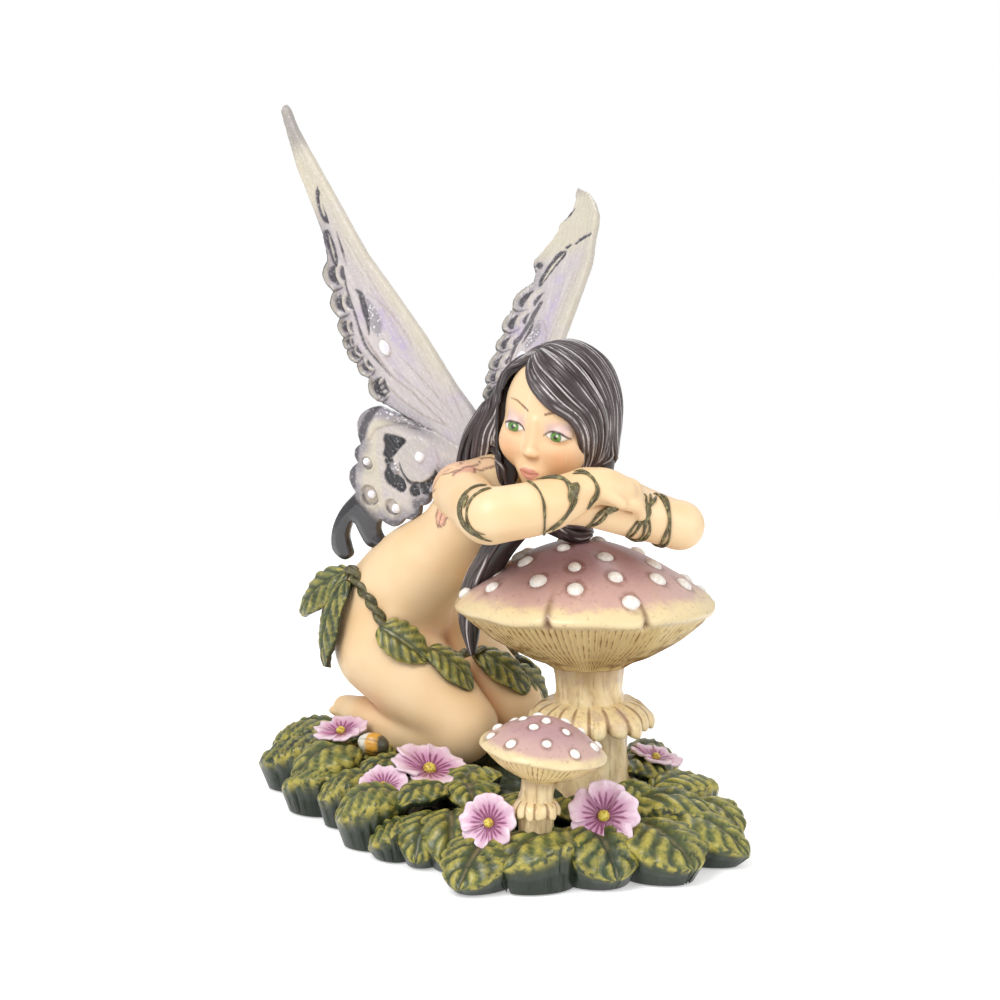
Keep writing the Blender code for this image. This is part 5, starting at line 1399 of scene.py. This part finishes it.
wings = {
    "near": {
        "root": (-6.1, 22.0, 81.6), "span": (-0.452, 0.1205, 0.884), "chord": (-0.752, 0.481, -0.450),
        "turn": 0,
        "leading": (
            (-8, -3.5), (0, -4.4), (6.4, -3.8), (13.5, -2.4), (27, -1.0), (37, 0.7), (50.6, 3.2),
            (65.6, 3.9), (75, 4.4), (84, 4.8), (88.6, 4.2), (90.6, 4.6), (89.4, 6.2), (81.7, 8.3),
            (76.3, 9.5), (65.8, 10.7), (59.6, 11.6),
        ),
        "notches": (
            (53.5, 13.6), (46.4, 15.9), (40, 17.7), (35.6, 19.3), (32.6, 20.0), (28.6, 19.2), (24.2, 18.0),
            (17.6, 18.3),
        ),
        "deep": 1.0, "tipFrom": 80,
        "cells": (
            ((70.1, 6.3), (68.3, 8.2), (63.1, 9.7), (60.9, 8.5), (63.5, 7.8), (66.4, 7.4)),
            ((60.1, 10.7), (59.5, 9.4), (55, 10.0), (51.8, 11.3), (51.5, 12.5), (58.2, 11.6)),
        ),
        "bars": (
            ((67.6, 7.2, 0.2), (65.4, 8.1, 0.4), (63.2, 8.6, 0.2)),
            ((58.6, 10.1, 0.1), (55.5, 10.9, 0.3), (52.6, 11.8, 0.1)),
        ),
        "wedges": (
            ((44.3, 10.2, 0.15), (42.7, 9.6, 0.7), (39.5, 10.4, 0.85), (35.9, 11.5, 0.5),
             (33.4, 12.6, 0.15)),
            ((58.4, 7.6, 0.05), (54.5, 8.4, 0.3), (50.5, 9.3, 0.05)),
        ),
        "glitter": ((41.9, 8.5), (37.8, 7.4), (34.3, 7.7), (32.0, 10.2), (34.0, 11.2), (38.0, 10.6)),
        "innerLine": (
            (50.6, 10.8, 0.2), (44.6, 12.6, 0.3), (39.2, 13.6, 0.35), (35.4, 14.4, 0.35),
            (31.4, 15.0, 0.35), (27, 13.9, 0.3), (22.4, 12.4, 0.15),
        ),
    },
    "far": {
        "root": (8.8, 28.0, 81.5), "span": (0.185, 0.778, 0.600), "chord": (-0.829, 0.451, -0.329),
        "turn": -38,
        "leading": (
            (-8, -3.5), (0, -4.4), (6.4, -3.8), (13.5, -2.4), (24, -1.0), (32.6, -0.9), (40.5, -1.9),
            (50.7, -3.1), (58.3, -3.9), (68.1, -3.0), (72.0, -3.0), (76.4, -2.4), (81.2, -0.5), (85.4, 2.0),
            (89.1, 6.1), (86.3, 6.4), (84.4, 5.8), (80.4, 6.0), (77.7, 8.1), (75.7, 9.2), (73.9, 9.0),
            (70.8, 10.1), (67.0, 12.9), (64.9, 14.4), (63.1, 14.2), (60.0, 12.9),
        ),
        "notches": (
            (55.7, 12.9), (47.6, 16.6), (39.8, 17.2), (33.5, 18.0), (27.5, 18.9), (22.5, 18.1),
            (17.6, 18.3),
        ),
        "deep": 1.5, "tipFrom": 86,
        "cells": (
            ((80.5, 4.9), (80.0, 6.0), (77.9, 8.0), (76.6, 8.4), (78.1, 6.3)),
            ((68.3, -2.4), (68.4, 0.5), (66.7, 2.3), (66.2, 1.8), (67.2, -0.2), (67.3, -2.5)),
            ((66.6, 3.1), (67.0, 4.2), (66.2, 5.2), (65.5, 4.2)),
            ((64.9, 4.5), (65.2, 7.0), (61.7, 9.1), (56.7, 10.9), (53.9, 10.3), (55.9, 8.9), (59.7, 6.8),
             (62.8, 4.6)),
            ((64.2, 12.9), (62.4, 13.3), (61.0, 11.6), (62.0, 11.0), (63.4, 11.6)),
        ),
        "bars": (
            ((64.2, 5.2, 0.2), (60.4, 7.8, 0.45), (55.6, 9.8, 0.2)),
            ((73.4, 8.3, 0.05), (70.6, 9.5, 0.2), (68.2, 11.3, 0.05)),
        ),
        "wedges": (((42.0, 9.4, 0.1), (38.6, 9.8, 0.6), (34.2, 11.4, 0.1)),),
        "glitter": ((41.9, 7.6), (37.8, 6.4), (34.3, 6.7), (32.0, 9.2), (34.0, 10.2), (38.0, 9.0)),
        "innerLine": (
            (47.6, 8.6, 0.7), (45.0, 9.6, 0.8), (42.6, 10.2, 0.8), (38.2, 11.8, 0.75), (34.4, 13.2, 0.6),
            (29, 13.6, 0.4), (22.4, 12.4, 0.15),
        ),
    },
}


def scalloped(notches, bulge=0.3, steps=8):
    points = []
    for start, end in zip(np.array(notches, float), np.array(notches[1:], float)):
        out = np.array((end[1] - start[1], start[0] - end[0]))
        for step in range(steps):
            share = step / steps
            points.append(tuple(start + (end - start) * share + out * (bulge * 4 * share * (1 - share))))
    points.append(tuple(notches[-1]))
    return points


def wingFrame(shape):
    span = unit(shape["span"])
    face = unit(np.cross(span, shape["chord"]))
    chord = np.cross(face, span)
    return np.array([span, chord, face]), onBed(shape["root"])


# Paint and relief of one part of a wing, laid down mark by mark over points of its plane.
class Markings:
    def __init__(self, points, edge):
        self.points = points
        self.edge = edge
        self.masks = {name: np.zeros(points.shape[:-1])
                      for name in ("black", "dark", "grey", "cream", "lilac", "vein", "spark", "gloss")}
        self.rise = np.zeros(points.shape[:-1])

    def lay(self, mask, gap, strength=1.0, soft=0.22, rise=0.0, clears=()):
        cover = ramp(soft, -soft, gap)
        self.masks[mask] = np.maximum(self.masks[mask], strength * cover)
        for other in clears:
            self.masks[other] = self.masks[other] * (1 - cover)
        self.rise = self.rise + rise * ramp(max(soft, 0.35), -max(soft, 0.35), gap)

    def stroke(self, mask, knots, strength=1.0, soft=0.18, rise=0.0, clears=()):
        path = smoothPath(knots) if len(knots) > 2 else knots
        self.lay(mask, strokeDistance(self.points, path), strength, soft, rise, clears)

    def patch(self, mask, outline, strength=1.0, soft=0.22, rise=0.0, clears=()):
        closed = smoothPath([*outline, outline[0]], 4)[:-1]
        self.lay(mask, outlineDistance(self.points, closed), strength, soft, rise, clears)

    def disc(self, mask, centre, radius, strength=1.0, soft=0.3, rise=0.0, clears=(), squash=1.0):
        local = (self.points - np.asarray(centre, float)) * (1, 1 / squash)
        self.lay(mask, np.linalg.norm(local, axis=-1) - radius, strength, soft, rise, clears)


# Veins of the fore part: knots of place and radius.
foreVeins = (
    ((33.3, 13.9, 0.22), (27.4, 13.1, 0.22), (22.1, 11.9, 0.2), (17.0, 9.1, 0.2), (10.6, 6.4, 0.18),
     (5, 4.0, 0.1)),
    ((42.2, 7.6, 0.1), (38.7, 5.3, 0.12), (33.2, 3.6, 0.12), (28.4, 2.5, 0.08)),
    ((21.5, 15.4, 0.15), (19.9, 14.0, 0.22), (16.2, 12.6, 0.2), (10.4, 8.8, 0.2), (5.9, 4.5, 0.1)),
    ((14.3, -1.7, 0.1), (9.5, -0.9, 0.16), (6.2, -0.7, 0.1)),
    ((26, 7.5, 0.08), (18, 4.6, 0.14), (8, 1.4, 0.08)), ((24, 11.0, 0.08), (16, 7.0, 0.14), (7, 2.8, 0.08)),
)


# The fore part: a pearly skin, a cream front edge, and a row of ringed lobes behind.
def markFore(marks, shape):
    s, c = marks.points[..., 0], marks.points[..., 1]
    leading = np.array([row for row in shape["leading"] if row[0] > -8][:12])
    band = c - np.interp(s, leading[:, 0], leading[:, 1])
    marks.masks["cream"] = ramp(6.5, 0.5, band) * 0.7 * ramp(6, 22, s)
    marks.masks["cream"] = np.maximum(marks.masks["cream"], ramp(58, 68, s) * 0.85)
    marks.rise = marks.rise + 0.35 * ramp(3.0, 1.2, band)
    for start, end, width in ((2.2, 5.0, 0.10), (3.3, 7.0, 0.08)):
        row = [(x, float(np.interp(x, leading[:, 0], leading[:, 1])) + start + (end - start) * (1 - x / 60),
                width) for x in (56, 44, 32, 20, 10)]
        marks.stroke("vein", row, 0.55, 0.14, 0.08)
    marks.lay("lilac", np.hypot((s - 33) / 9.5, (c - 5.4) / 2.6) - 1, 0.75, 0.5)
    marks.lay("lilac", np.hypot((s - 47) / 8, (c - 4.4) / 1.6) - 1, 0.45, 0.5)
    marks.lay("lilac", np.hypot((s - 60) / 9, (c + 0.5) / 2.6) - 1, 0.3, 0.6)
    for knots in foreVeins:
        marks.stroke("vein", knots, 0.75, 0.16, 0.22)
    marks.patch("grey", shape["glitter"], 0.75, 0.5, -0.1)
    marks.patch("spark", shape["glitter"], 0.8, 0.5)
    for knots in shape["wedges"]:
        marks.stroke("dark", knots, 0.95, 0.2, -0.3)
    notches = np.array(shape["notches"], float)
    deep = shape["deep"]
    marks.stroke("dark", shape["innerLine"], 0.85, 0.2, -0.3)
    for number, (start, end) in enumerate(zip(notches, notches[1:])):
        along = end - start
        size = np.linalg.norm(along)
        along = along / size
        out = np.array((along[1], -along[0]))
        middle = (start + end) / 2

        def place(u, v):
            return tuple(middle + along * (u * size / 2) - out * v)

        last = number == len(notches) - 2
        edge = [(*place(u, -0.22 * size * (1 - u * u)), 0.0) for u in np.linspace(-1, 1, 9)]
        marks.stroke("cream", [(x, y, 0.85) for x, y, r in edge], 1.0, 0.25, 0.45, ("vein", "lilac"))
        marks.stroke("dark", [(*place(u, -0.25 * size * (1 - u * u) - 0.02), 0.22)
                              for u in np.linspace(-1, 1, 9)], 0.75, 0.16, 0)
        inset = min(0.9 + 0.1 * size, 1.9)
        crescent = [(*place(u * 0.62, inset - 0.16 * size * (1 - u * u)),
                     0.14 + 0.12 * size * (1 - u * u) * min(1, deep)) for u in np.linspace(-1, 1, 7)]
        marks.stroke("black" if last else "dark", crescent, 0.95, 0.2, -0.4, ("cream",))
        second = [(*place(u * 0.5, inset + 0.42 * size * deep * 0.75 - 0.1 * size * (1 - u * u)),
                   0.1 + 0.075 * size * (1 - u * u)) for u in np.linspace(-1, 1, 7)]
        ring = [(*place(u * 0.62, inset + 0.2 * size * deep - 0.2 * size * (1 - u * u)), 0.3)
                for u in np.linspace(-1, 1, 7)]
        marks.stroke("cream", ring, 0.85, 0.25, 0.3)
        marks.stroke("dark", second, 0.9, 0.18, -0.3, ("cream",))
        groove = [(*place(1.0, -0.1), 0.3), (*place(0.94, 1.4), 0.26), (*place(0.8, 2.8 * deep), 0.08)]
        marks.stroke("dark", groove, 0.85, 0.18, -0.35, ("cream",))
        if last:
            for u in (-0.5, -0.1, 0.3, 0.7):
                marks.stroke("black", [(*place(u, -0.1), 0.15), (*place(u - 0.1, 1.6), 0.34),
                                       (*place(u - 0.2, 3.2), 0.1)], 0.9, 0.2, -0.2)
            marks.stroke("grey", [(*place(-0.7, 1.5), 0.8), (*place(0.2, 1.2), 1.3),
                                  (*place(0.9, 1.6), 0.7)], 0.7, 0.5)
    behind = ramp(6, 9, c) * ramp(70, 58, s)
    marks.masks["dark"] = np.maximum(marks.masks["dark"], 0.95 * ramp(-0.7, -0.3, marks.edge) * behind)
    marks.masks["grey"] = np.maximum(marks.masks["grey"], 0.55 * ramp(-5.0, -0.6, marks.edge) * behind)
    for outline in shape["cells"]:
        marks.patch("dark", outline, 0.95, 0.2, -0.35, ("cream",))
    for knots in shape["bars"]:
        marks.stroke("cream", knots, 0.95, 0.18, 0.3, ("dark",))
    marks.lay("grey", shape["tipFrom"] - s, 0.65, 3.0)
    marks.disc("vein", (28.9, 10.1), 2.3, 0.35, 0.25, 0.1, squash=0.72)


# Marks of the hind part, alike on both wings, in its own plane.
hindMarks = {
    "lilac": (
        (15.2, 20.7), (16.4, 19.2), (17.1, 15.1), (15.2, 12.7), (10.5, 8.4), (5.7, 4.6), (5.3, 6.6),
        (7.9, 10.0), (11.6, 14.9), (14.2, 18.3),
    ),
    "pale": (
        (12.6, 22.4), (12.0, 25.6), (9.8, 27.8), (6.4, 30.8), (3.0, 33.4), (-1.0, 36.0), (-4.4, 36.4),
        (-5.6, 33.2), (-3.6, 30.0), (0.6, 28.4), (4.2, 26.8), (8.2, 25.2), (10.6, 23.0),
    ),
    "arch": (
        (11.4, 26.0, 0.4), (13.4, 22.8, 0.9), (13.2, 18.8, 1.0), (12.0, 15.4, 1.0), (9.4, 10.7, 0.8),
        (5.6, 6.9, 0.5), (2.0, 4.2, 0.2),
    ),
    "dashes": (
        ((12.6, 17.2, 0.1), (11.5, 15.7, 0.28), (10.2, 12.9, 0.12)),
        ((10.0, 12.2, 0.1), (8.3, 10.6, 0.34), (7.2, 8.6, 0.12)),
        ((9.6, 14.2, 0.08), (8.6, 12.4, 0.26), (7.6, 11.2, 0.08)),
        ((7.8, 10.4, 0.1), (6.6, 8.0, 0.4), (5.4, 6.8, 0.1)),
    ),
    "disc": ((1.5, 15.9), 5.7),
    "black": (
        ((10.8, 21.0), (9.6, 19.0), (8.1, 17.1), (6.8, 16.2), (6.2, 17.9), (5.6, 19.9), (4.9, 21.9),
         (5.4, 23.8), (6.5, 24.4), (8.0, 22.8), (9.6, 22.3)),
        ((5.4, 22.3), (5.2, 24.6), (3.6, 24.9), (1.9, 26.8), (-0.4, 26.9), (-2.4, 25.6), (-3.8, 24.4),
         (-3.2, 22.6), (-1.2, 22.2), (0.6, 22.9), (2.0, 23.6), (3.6, 22.4)),
        ((-3.2, 21.3), (-3.6, 19.3), (-6.1, 19.9), (-6.0, 21.8), (-4.4, 22.4)),
        ((-3.4, 18.9), (-3.6, 16.4), (-3.0, 13.6), (-2.1, 12.5), (-3.4, 12.5), (-4.9, 13.5), (-5.4, 16.2),
         (-6.8, 17.6), (-6.2, 19.3)),
    ),
    # Sunk rounds at the edge: centre, radius, squash and rise.
    "seats": (
        ((-1.0, 33.0), 2.5, 0.85, -0.5), ((6.2, 29.4), 1.5, 0.9, -0.35), ((-5.9, 28.8), 1.9, 0.9, -0.45),
    ),
    # Dark rims: knots, strength, softness and what they hide.
    "rims": (
        (((17.4, 17.0, 0.5), (17.0, 20.5, 0.9), (15.0, 24.6, 1.0), (12.6, 27.4, 0.9), (11.2, 28.9, 0.35)),
         0.9, 0.35, ("cream", "lilac")),
        (((11.0, 29.6, 0.4), (9.6, 31.0, 0.7), (7.6, 32.0, 0.35)), 0.8, 0.3, ("cream",)),
        (((7.3, 32.8, 0.4), (5.4, 34.8, 0.8), (2.6, 36.2, 0.6)), 0.8, 0.3, ("cream",)),
        (((-7.8, 32.6, 0.6), (-9.6, 30.4, 0.8), (-10.2, 27.4, 0.4)), 0.7, 0.35, ("cream",)),
        (((-10.2, 26.6, 0.4), (-10.2, 24.0, 0.9), (-9.0, 21.6, 0.4)), 0.8, 0.3, ("cream",)),
        (((-8.8, 20.8, 0.4), (-8.4, 18.8, 0.8), (-6.8, 17.2, 0.3)), 0.8, 0.3, ("cream",)),
    ),
}


# The hind part: a lilac top, a ringed disc with dark cells round it, pale edge lobes and two dark tails.
def markHind(marks, shape):
    s, c = marks.points[..., 0], marks.points[..., 1]
    marks.masks["cream"] = np.full(s.shape, 0.3)
    marks.masks["grey"] = 0.9 * ramp(-4.2, -0.8, marks.edge) * ramp(4, 12, c)
    marks.patch("lilac", hindMarks["lilac"], 1.0, 0.7)
    marks.patch("spark", hindMarks["lilac"], 0.6, 0.7)
    marks.patch("cream", hindMarks["pale"], 0.8, 0.5, 0.15)
    marks.stroke("cream", hindMarks["arch"], 0.9, 0.35, 0.5, ("lilac",))
    for knots in hindMarks["dashes"]:
        marks.stroke("dark", knots, 0.7, 0.2, -0.2)
    middle, radius = hindMarks["disc"]
    marks.disc("cream", middle, radius, 0.2, 0.4, 0.45, ("lilac",))
    marks.disc("grey", middle, radius - 0.3, 0.16, 0.4)
    for outline in hindMarks["black"]:
        marks.patch("black", outline, 1.0, 0.2, -0.35, ("cream", "lilac", "grey"))
    marks.stroke("black", ((2.9, 20.9, 0.2), (0.0, 21.5, 0.4), (-2.6, 20.8, 0.5), (-3.5, 18.6, 0.4)), 0.95,
                 0.2, -0.3, ("cream", "grey"))
    marks.disc("grey", (2.2, 23.0), 1.5, 0.9, 0.35, 0.4, ("black",), 0.8)
    marks.disc("spark", (2.2, 23.0), 1.5, 0.9, 0.35, squash=0.8)
    marks.disc("spark", (-0.9, 22.0), 0.7, 0.9, 0.25)
    for u in range(5):
        marks.stroke("grey", ((-3.4 - 0.62 * u, 14.4 + 0.8 * u, 0.06),
                              (-4.6 - 0.62 * u, 14.8 + 0.8 * u, 0.18)), 0.8, 0.12, 0.15)
    marks.patch("dark", ((-7.0, 19.0), (-6.6, 22.4), (-8.4, 23.4), (-9.2, 21.4), (-8.6, 19.4)), 0.6, 0.4)
    marks.patch("vein", ((-7.6, 20.2), (-7.4, 22.6), (-9.0, 23.0), (-9.4, 21.2)), 0.5, 0.3)
    for centre, radius, squash, rise in hindMarks["seats"]:

        def around(reach, width, angles):
            return [(centre[0] + reach * math.cos(a), centre[1] + reach * squash * math.sin(a), width)
                    for a in angles]

        ring = around(radius + 0.5, 0.28, np.linspace(0, 2 * math.pi, 17))
        marks.stroke("cream", ring, 0.9, 0.2, 0.35, ("lilac",))
        marks.disc("vein", centre, radius, 0.5, 0.3, rise, squash=squash)
        marks.stroke("dark", around(radius - 0.1, 0.22, np.linspace(1.2, 3.9, 8)), 0.75, 0.2)
        marks.disc("cream", (centre[0] - 0.2 * radius, centre[1] - 0.1 * radius), radius * 0.6, 0.8, 0.4,
                   0.1, squash=squash)
    for knots, strength, soft, clears in hindMarks["rims"]:
        marks.stroke("dark", knots, strength, soft, 0.1, clears)
    tail = (ramp(35.6, 38.2, c + 0.35 * np.maximum(0, 2 - s) - 0.6 * np.maximum(0, s - 1))
            * ramp(3.4, 1.6, s))
    tail = np.maximum(tail, ramp(-6.6, -8.4, s) * ramp(33.4, 34.6, c))
    marks.masks["gloss"] = tail
    for key in ("cream", "lilac", "grey", "vein"):
        marks.masks[key] = marks.masks[key] * (1 - tail)
    marks.rise = marks.rise + tail * (1.5 * np.sqrt(np.clip(-marks.edge / 2.4, 0, 1)) - 0.3)


def makeWing(name, shape):
    look = wingLook
    axes, root = wingFrame(shape)
    fore = [*shape["leading"], *scalloped(shape["notches"]), (4, 8), (-8, 2)]
    hind = [(-8, -2), (6, 8), *scalloped(hindNotches), *smoothPath(hindTails, 3)[1:-1],
            *scalloped(hindLower), (-4, 7), (-9, 2)]
    parts = (("fore", fore, 1.8, 0.0, 0, markFore), ("hind", hind, 2.0, 0.6, shape["turn"], markHind))
    shell = Shell()
    for part, outline, thickness, step, turn, mark in parts:
        outline = np.array(outline)
        field = Field((*(outline.min(0) - 1.5), step - 2.6), (*(outline.max(0) + 1.5), step + 3.4),
                      look["cell"])
        points = field.all()[1]
        plane = points[:, :, 0, :2]
        edge = outlineDistance(plane, outline)
        marks = Markings(plane, edge)
        mark(marks, shape)
        ripple = (0.1 * np.sin(plane[..., 1] * 5 + 2 * np.sin(plane[..., 0] * 0.4))
                  * (1 - marks.masks["gloss"]))
        rise = marks.rise + 0.2 * ramp(-1.0, -0.4, edge) + ripple
        top = points[..., 2] - (step + thickness / 2 + rise)[..., None]
        bottom = (step - thickness / 2 - 0.5 * np.maximum(rise, -0.4))[..., None] - points[..., 2]
        solid = -smoothMin(-top, -bottom, 0.3)
        field.values = -smoothMin(-solid, -np.repeat(edge[..., None], field.counts[2], 2),
                                  0.9).astype(np.float32)
        corners, quads = field.skin()
        marks = Markings(corners[:, :2], outlineDistance(corners[:, :2], outline))
        mark(marks, shape)
        tilt = math.radians(turn)
        spot = corners.copy()
        spot[:, 1] = corners[:, 1] * math.cos(tilt) - corners[:, 2] * math.sin(tilt)
        spot[:, 2] = corners[:, 1] * math.sin(tilt) + corners[:, 2] * math.cos(tilt)
        fan = np.arctan2(corners[:, 1] - 2, corners[:, 0] + 30)
        reach = np.hypot(corners[:, 1] - 2, corners[:, 0] + 30)
        shell.add(spot @ axes + root, quads, fan=fan, reach=reach, **marks.masks)
    paint = Paint(name + "_wing", look)
    place = paint.node("ShaderNodeCombineXYZ", None,
                       {0: paint.mask("fan") * 60, 1: paint.mask("reach") * 0.07, 2: 0.0})
    streaks = paint.node("ShaderNodeTexNoise", None,
                         {"Vector": place, "Scale": 1.0, "Detail": 4.0, "Roughness": 0.6})
    paint.base(streaks.between(0.3, 0.75) * 0.55, "pearl", "shade")
    paint.over(paint.noise(7, 3).between(0.5, 0.75) * 0.4, "lilac")
    lilac = paint.mask("lilac") * paint.noise(1.6, 4, 0.7, 1.2).between(0.36, 0.62)
    paint.over(lilac * 0.85, "lilac")
    paint.over(paint.mask("cream") * (0.75 + 0.25 * streaks), "cream")
    paint.over((paint.mask("cream") * paint.noise(1.4, 4, 0.6).between(0.55, 0.78)) * 0.35, "vein")
    paint.over(paint.mask("vein") * 0.7, "vein")
    paint.over(paint.mask("grey") * 0.85, "grey")
    wisps = paint.noise(0.9, 4, 0.65, 0.4)
    paint.over(paint.mask("dark") * wisps.between(0.18, 0.42), "dark")
    paint.over(paint.mask("black") * wisps.between(0.0, 0.2), "black")
    paint.over(paint.mask("gloss"), "charcoal")
    # The glitter's own flecks, painted white as their glints.
    sparkle = (paint.flakes(0.45).between(0.86, 0.9) * (paint.mask("spark") * 0.75 + 0.16)
               * (1 - paint.mask("gloss")))
    paint.over(sparkle, "spark")
    rough = (paint.noise(2.5, 3) * 0.25 + (look["roughness"] - 0.12) - paint.mask("gloss") * 0.12
             - sparkle * 0.15)
    coat = paint.mask("gloss") * 0.5 + look["coat"]
    height = streaks * 0.5 + wisps * 0.5
    shell.piece(name + "_wing_skin", paint.finish(rough, coat, 0.18, bump=height, depth=0.12),
                (name + "_wing",))


print("wings")
for name, shape in wings.items():
    makeWing(name, shape)

# Stones, glued into shallow seats.
stoneLook = {"milk": "#FFFFFF", "tint": "#E6DDF2", "coat": 0.8, "foreLevel": 0.9, "hindLevel": 1.6}
# Wing, place on it, radii, height, and whether it is on the hind part.
stones = {
    "near_upper_stone": ("near", (28.9, 10.1), (2.0, 1.3), 0.9, False),
    "near_lower_stone": ("near", (2.0, 14.8), (1.45, 1.45), 0.9, True),
    "near_edge_stone_1": ("near", (6.6, 29.3), (1.0, 1.0), 0.6, True),
    "near_edge_stone_2": ("near", (-1.0, 32.4), (1.1, 1.1), 0.6, True),
    "near_edge_stone_3": ("near", (-6.6, 27.9), (1.2, 1.2), 0.7, True),
    "far_upper_stone": ("far", (28.9, 10.1), (2.0, 1.3), 0.9, False),
}


def makeStones():
    paint = Paint("milky_stone", stoneLook)
    paint.base(paint.noise(0.9, 3).between(0.4, 0.7), "milk", "tint")
    material = paint.finish(paint.noise(0.8, 2) * 0.08 + 0.06, stoneLook["coat"], 0.04)
    for name, (wing, place, radii, height, onHind) in stones.items():
        axes, root = wingFrame(wings[wing])
        level = stoneLook["hindLevel" if onHind else "foreLevel"]
        shell = Shell()
        shell.round((0, 0, 0), (*radii, height + 0.35), None, 16, 24)
        points = shell.points[0]
        waist = 1 + 0.03 * np.cos(np.arctan2(points[:, 1], points[:, 0]) * 8)
        points = points * np.stack([waist, waist, np.ones(len(points))], 1)
        points[:, 2] = np.maximum(points[:, 2], -0.5)
        shell.points[0] = (points + (*place, level + 0.12)) @ axes + root
        shell.piece(name + "_gem", material, (name,))


print("stones")
makeStones()

# Floor, light and camera.
stageLook = {
    "sky": 0.62, "floorRadius": 0.4, "floorSides": 64, "floorTone": 0.9, "floorLift": 0.42,
    "lampAim": (0, 0, 0.07),
    # Each lamp: its place, size and power.
    "lamps": {
        "key": ((-0.32, -0.42, 0.62), 0.4, 3.4), "fill": ((0.55, -0.4, 0.35), 0.5, 1.4),
        "rim_light": ((0.1, 0.6, 0.6), 0.4, 0.9),
    },
    "camera": (0, -0.76567, 0.22831), "cameraAim": (0, 0, 0.07948), "lens": 122.09, "sensor": 36,
}


# Turns a lamp or the camera to look from its place at another.
def aim(holder, place, target):
    holder.location = place
    holder.rotation_euler = (Vector(target) - Vector(place)).to_track_quat("-Z", "Y").to_euler()
    bpy.context.scene.collection.objects.link(holder)


def makeStage():
    look = stageLook
    mesh = bpy.data.meshes.new("floor")
    radius, sides = look["floorRadius"], look["floorSides"]
    angle = np.arange(sides) * 2 * math.pi / sides
    mesh.from_pydata([(radius * math.cos(a), radius * math.sin(a), 0) for a in angle], [],
                     [tuple(range(sides))])
    floor = bpy.data.objects.new("floor", mesh)
    bpy.context.scene.collection.objects.link(floor)
    paint = Paint("floor")
    camera, glossy, through = (paint.node("ShaderNodeLightPath", out=f"Is {kind} Ray")
                               for kind in ("Camera", "Glossy", "Transmission"))
    paint.tone = (look["floorTone"],) * 3 + (1,)
    lift = paint.mix(camera.most(glossy).most(through), (0, 0, 0, 1), (look["floorLift"],) * 3 + (1,))
    paint.feed(paint.shader.inputs["Emission Color"], lift)
    paint.feed(paint.shader.inputs["Emission Strength"], 1.0)
    mesh.materials.append(paint.finish(0.9))
    world = bpy.data.worlds.new("studio")
    world.use_nodes = True
    bpy.context.scene.world = world
    tree = world.node_tree
    path = tree.nodes.new("ShaderNodeLightPath")
    blend = tree.nodes.new("ShaderNodeMix")
    blend.data_type = "RGBA"
    blend.inputs[6].default_value = (look["sky"],) * 3 + (1,)
    blend.inputs[7].default_value = (1, 1, 1, 1)
    tree.links.new(path.outputs["Is Camera Ray"], blend.inputs[0])
    tree.links.new(blend.outputs[2], tree.nodes["Background"].inputs["Color"])
    for name, (place, size, power) in look["lamps"].items():
        lamp = bpy.data.lights.new(name, "AREA")
        lamp.size = size
        lamp.energy = power
        aim(bpy.data.objects.new(name, lamp), place, look["lampAim"])
    camera = bpy.data.cameras.new("camera")
    camera.lens = look["lens"]
    camera.sensor_width = look["sensor"]
    holder = bpy.data.objects.new("camera", camera)
    aim(holder, look["camera"], look["cameraAim"])
    bpy.context.scene.camera = holder
    bpy.context.scene.view_settings.view_transform = "Standard"


print("stage")
makeStage()
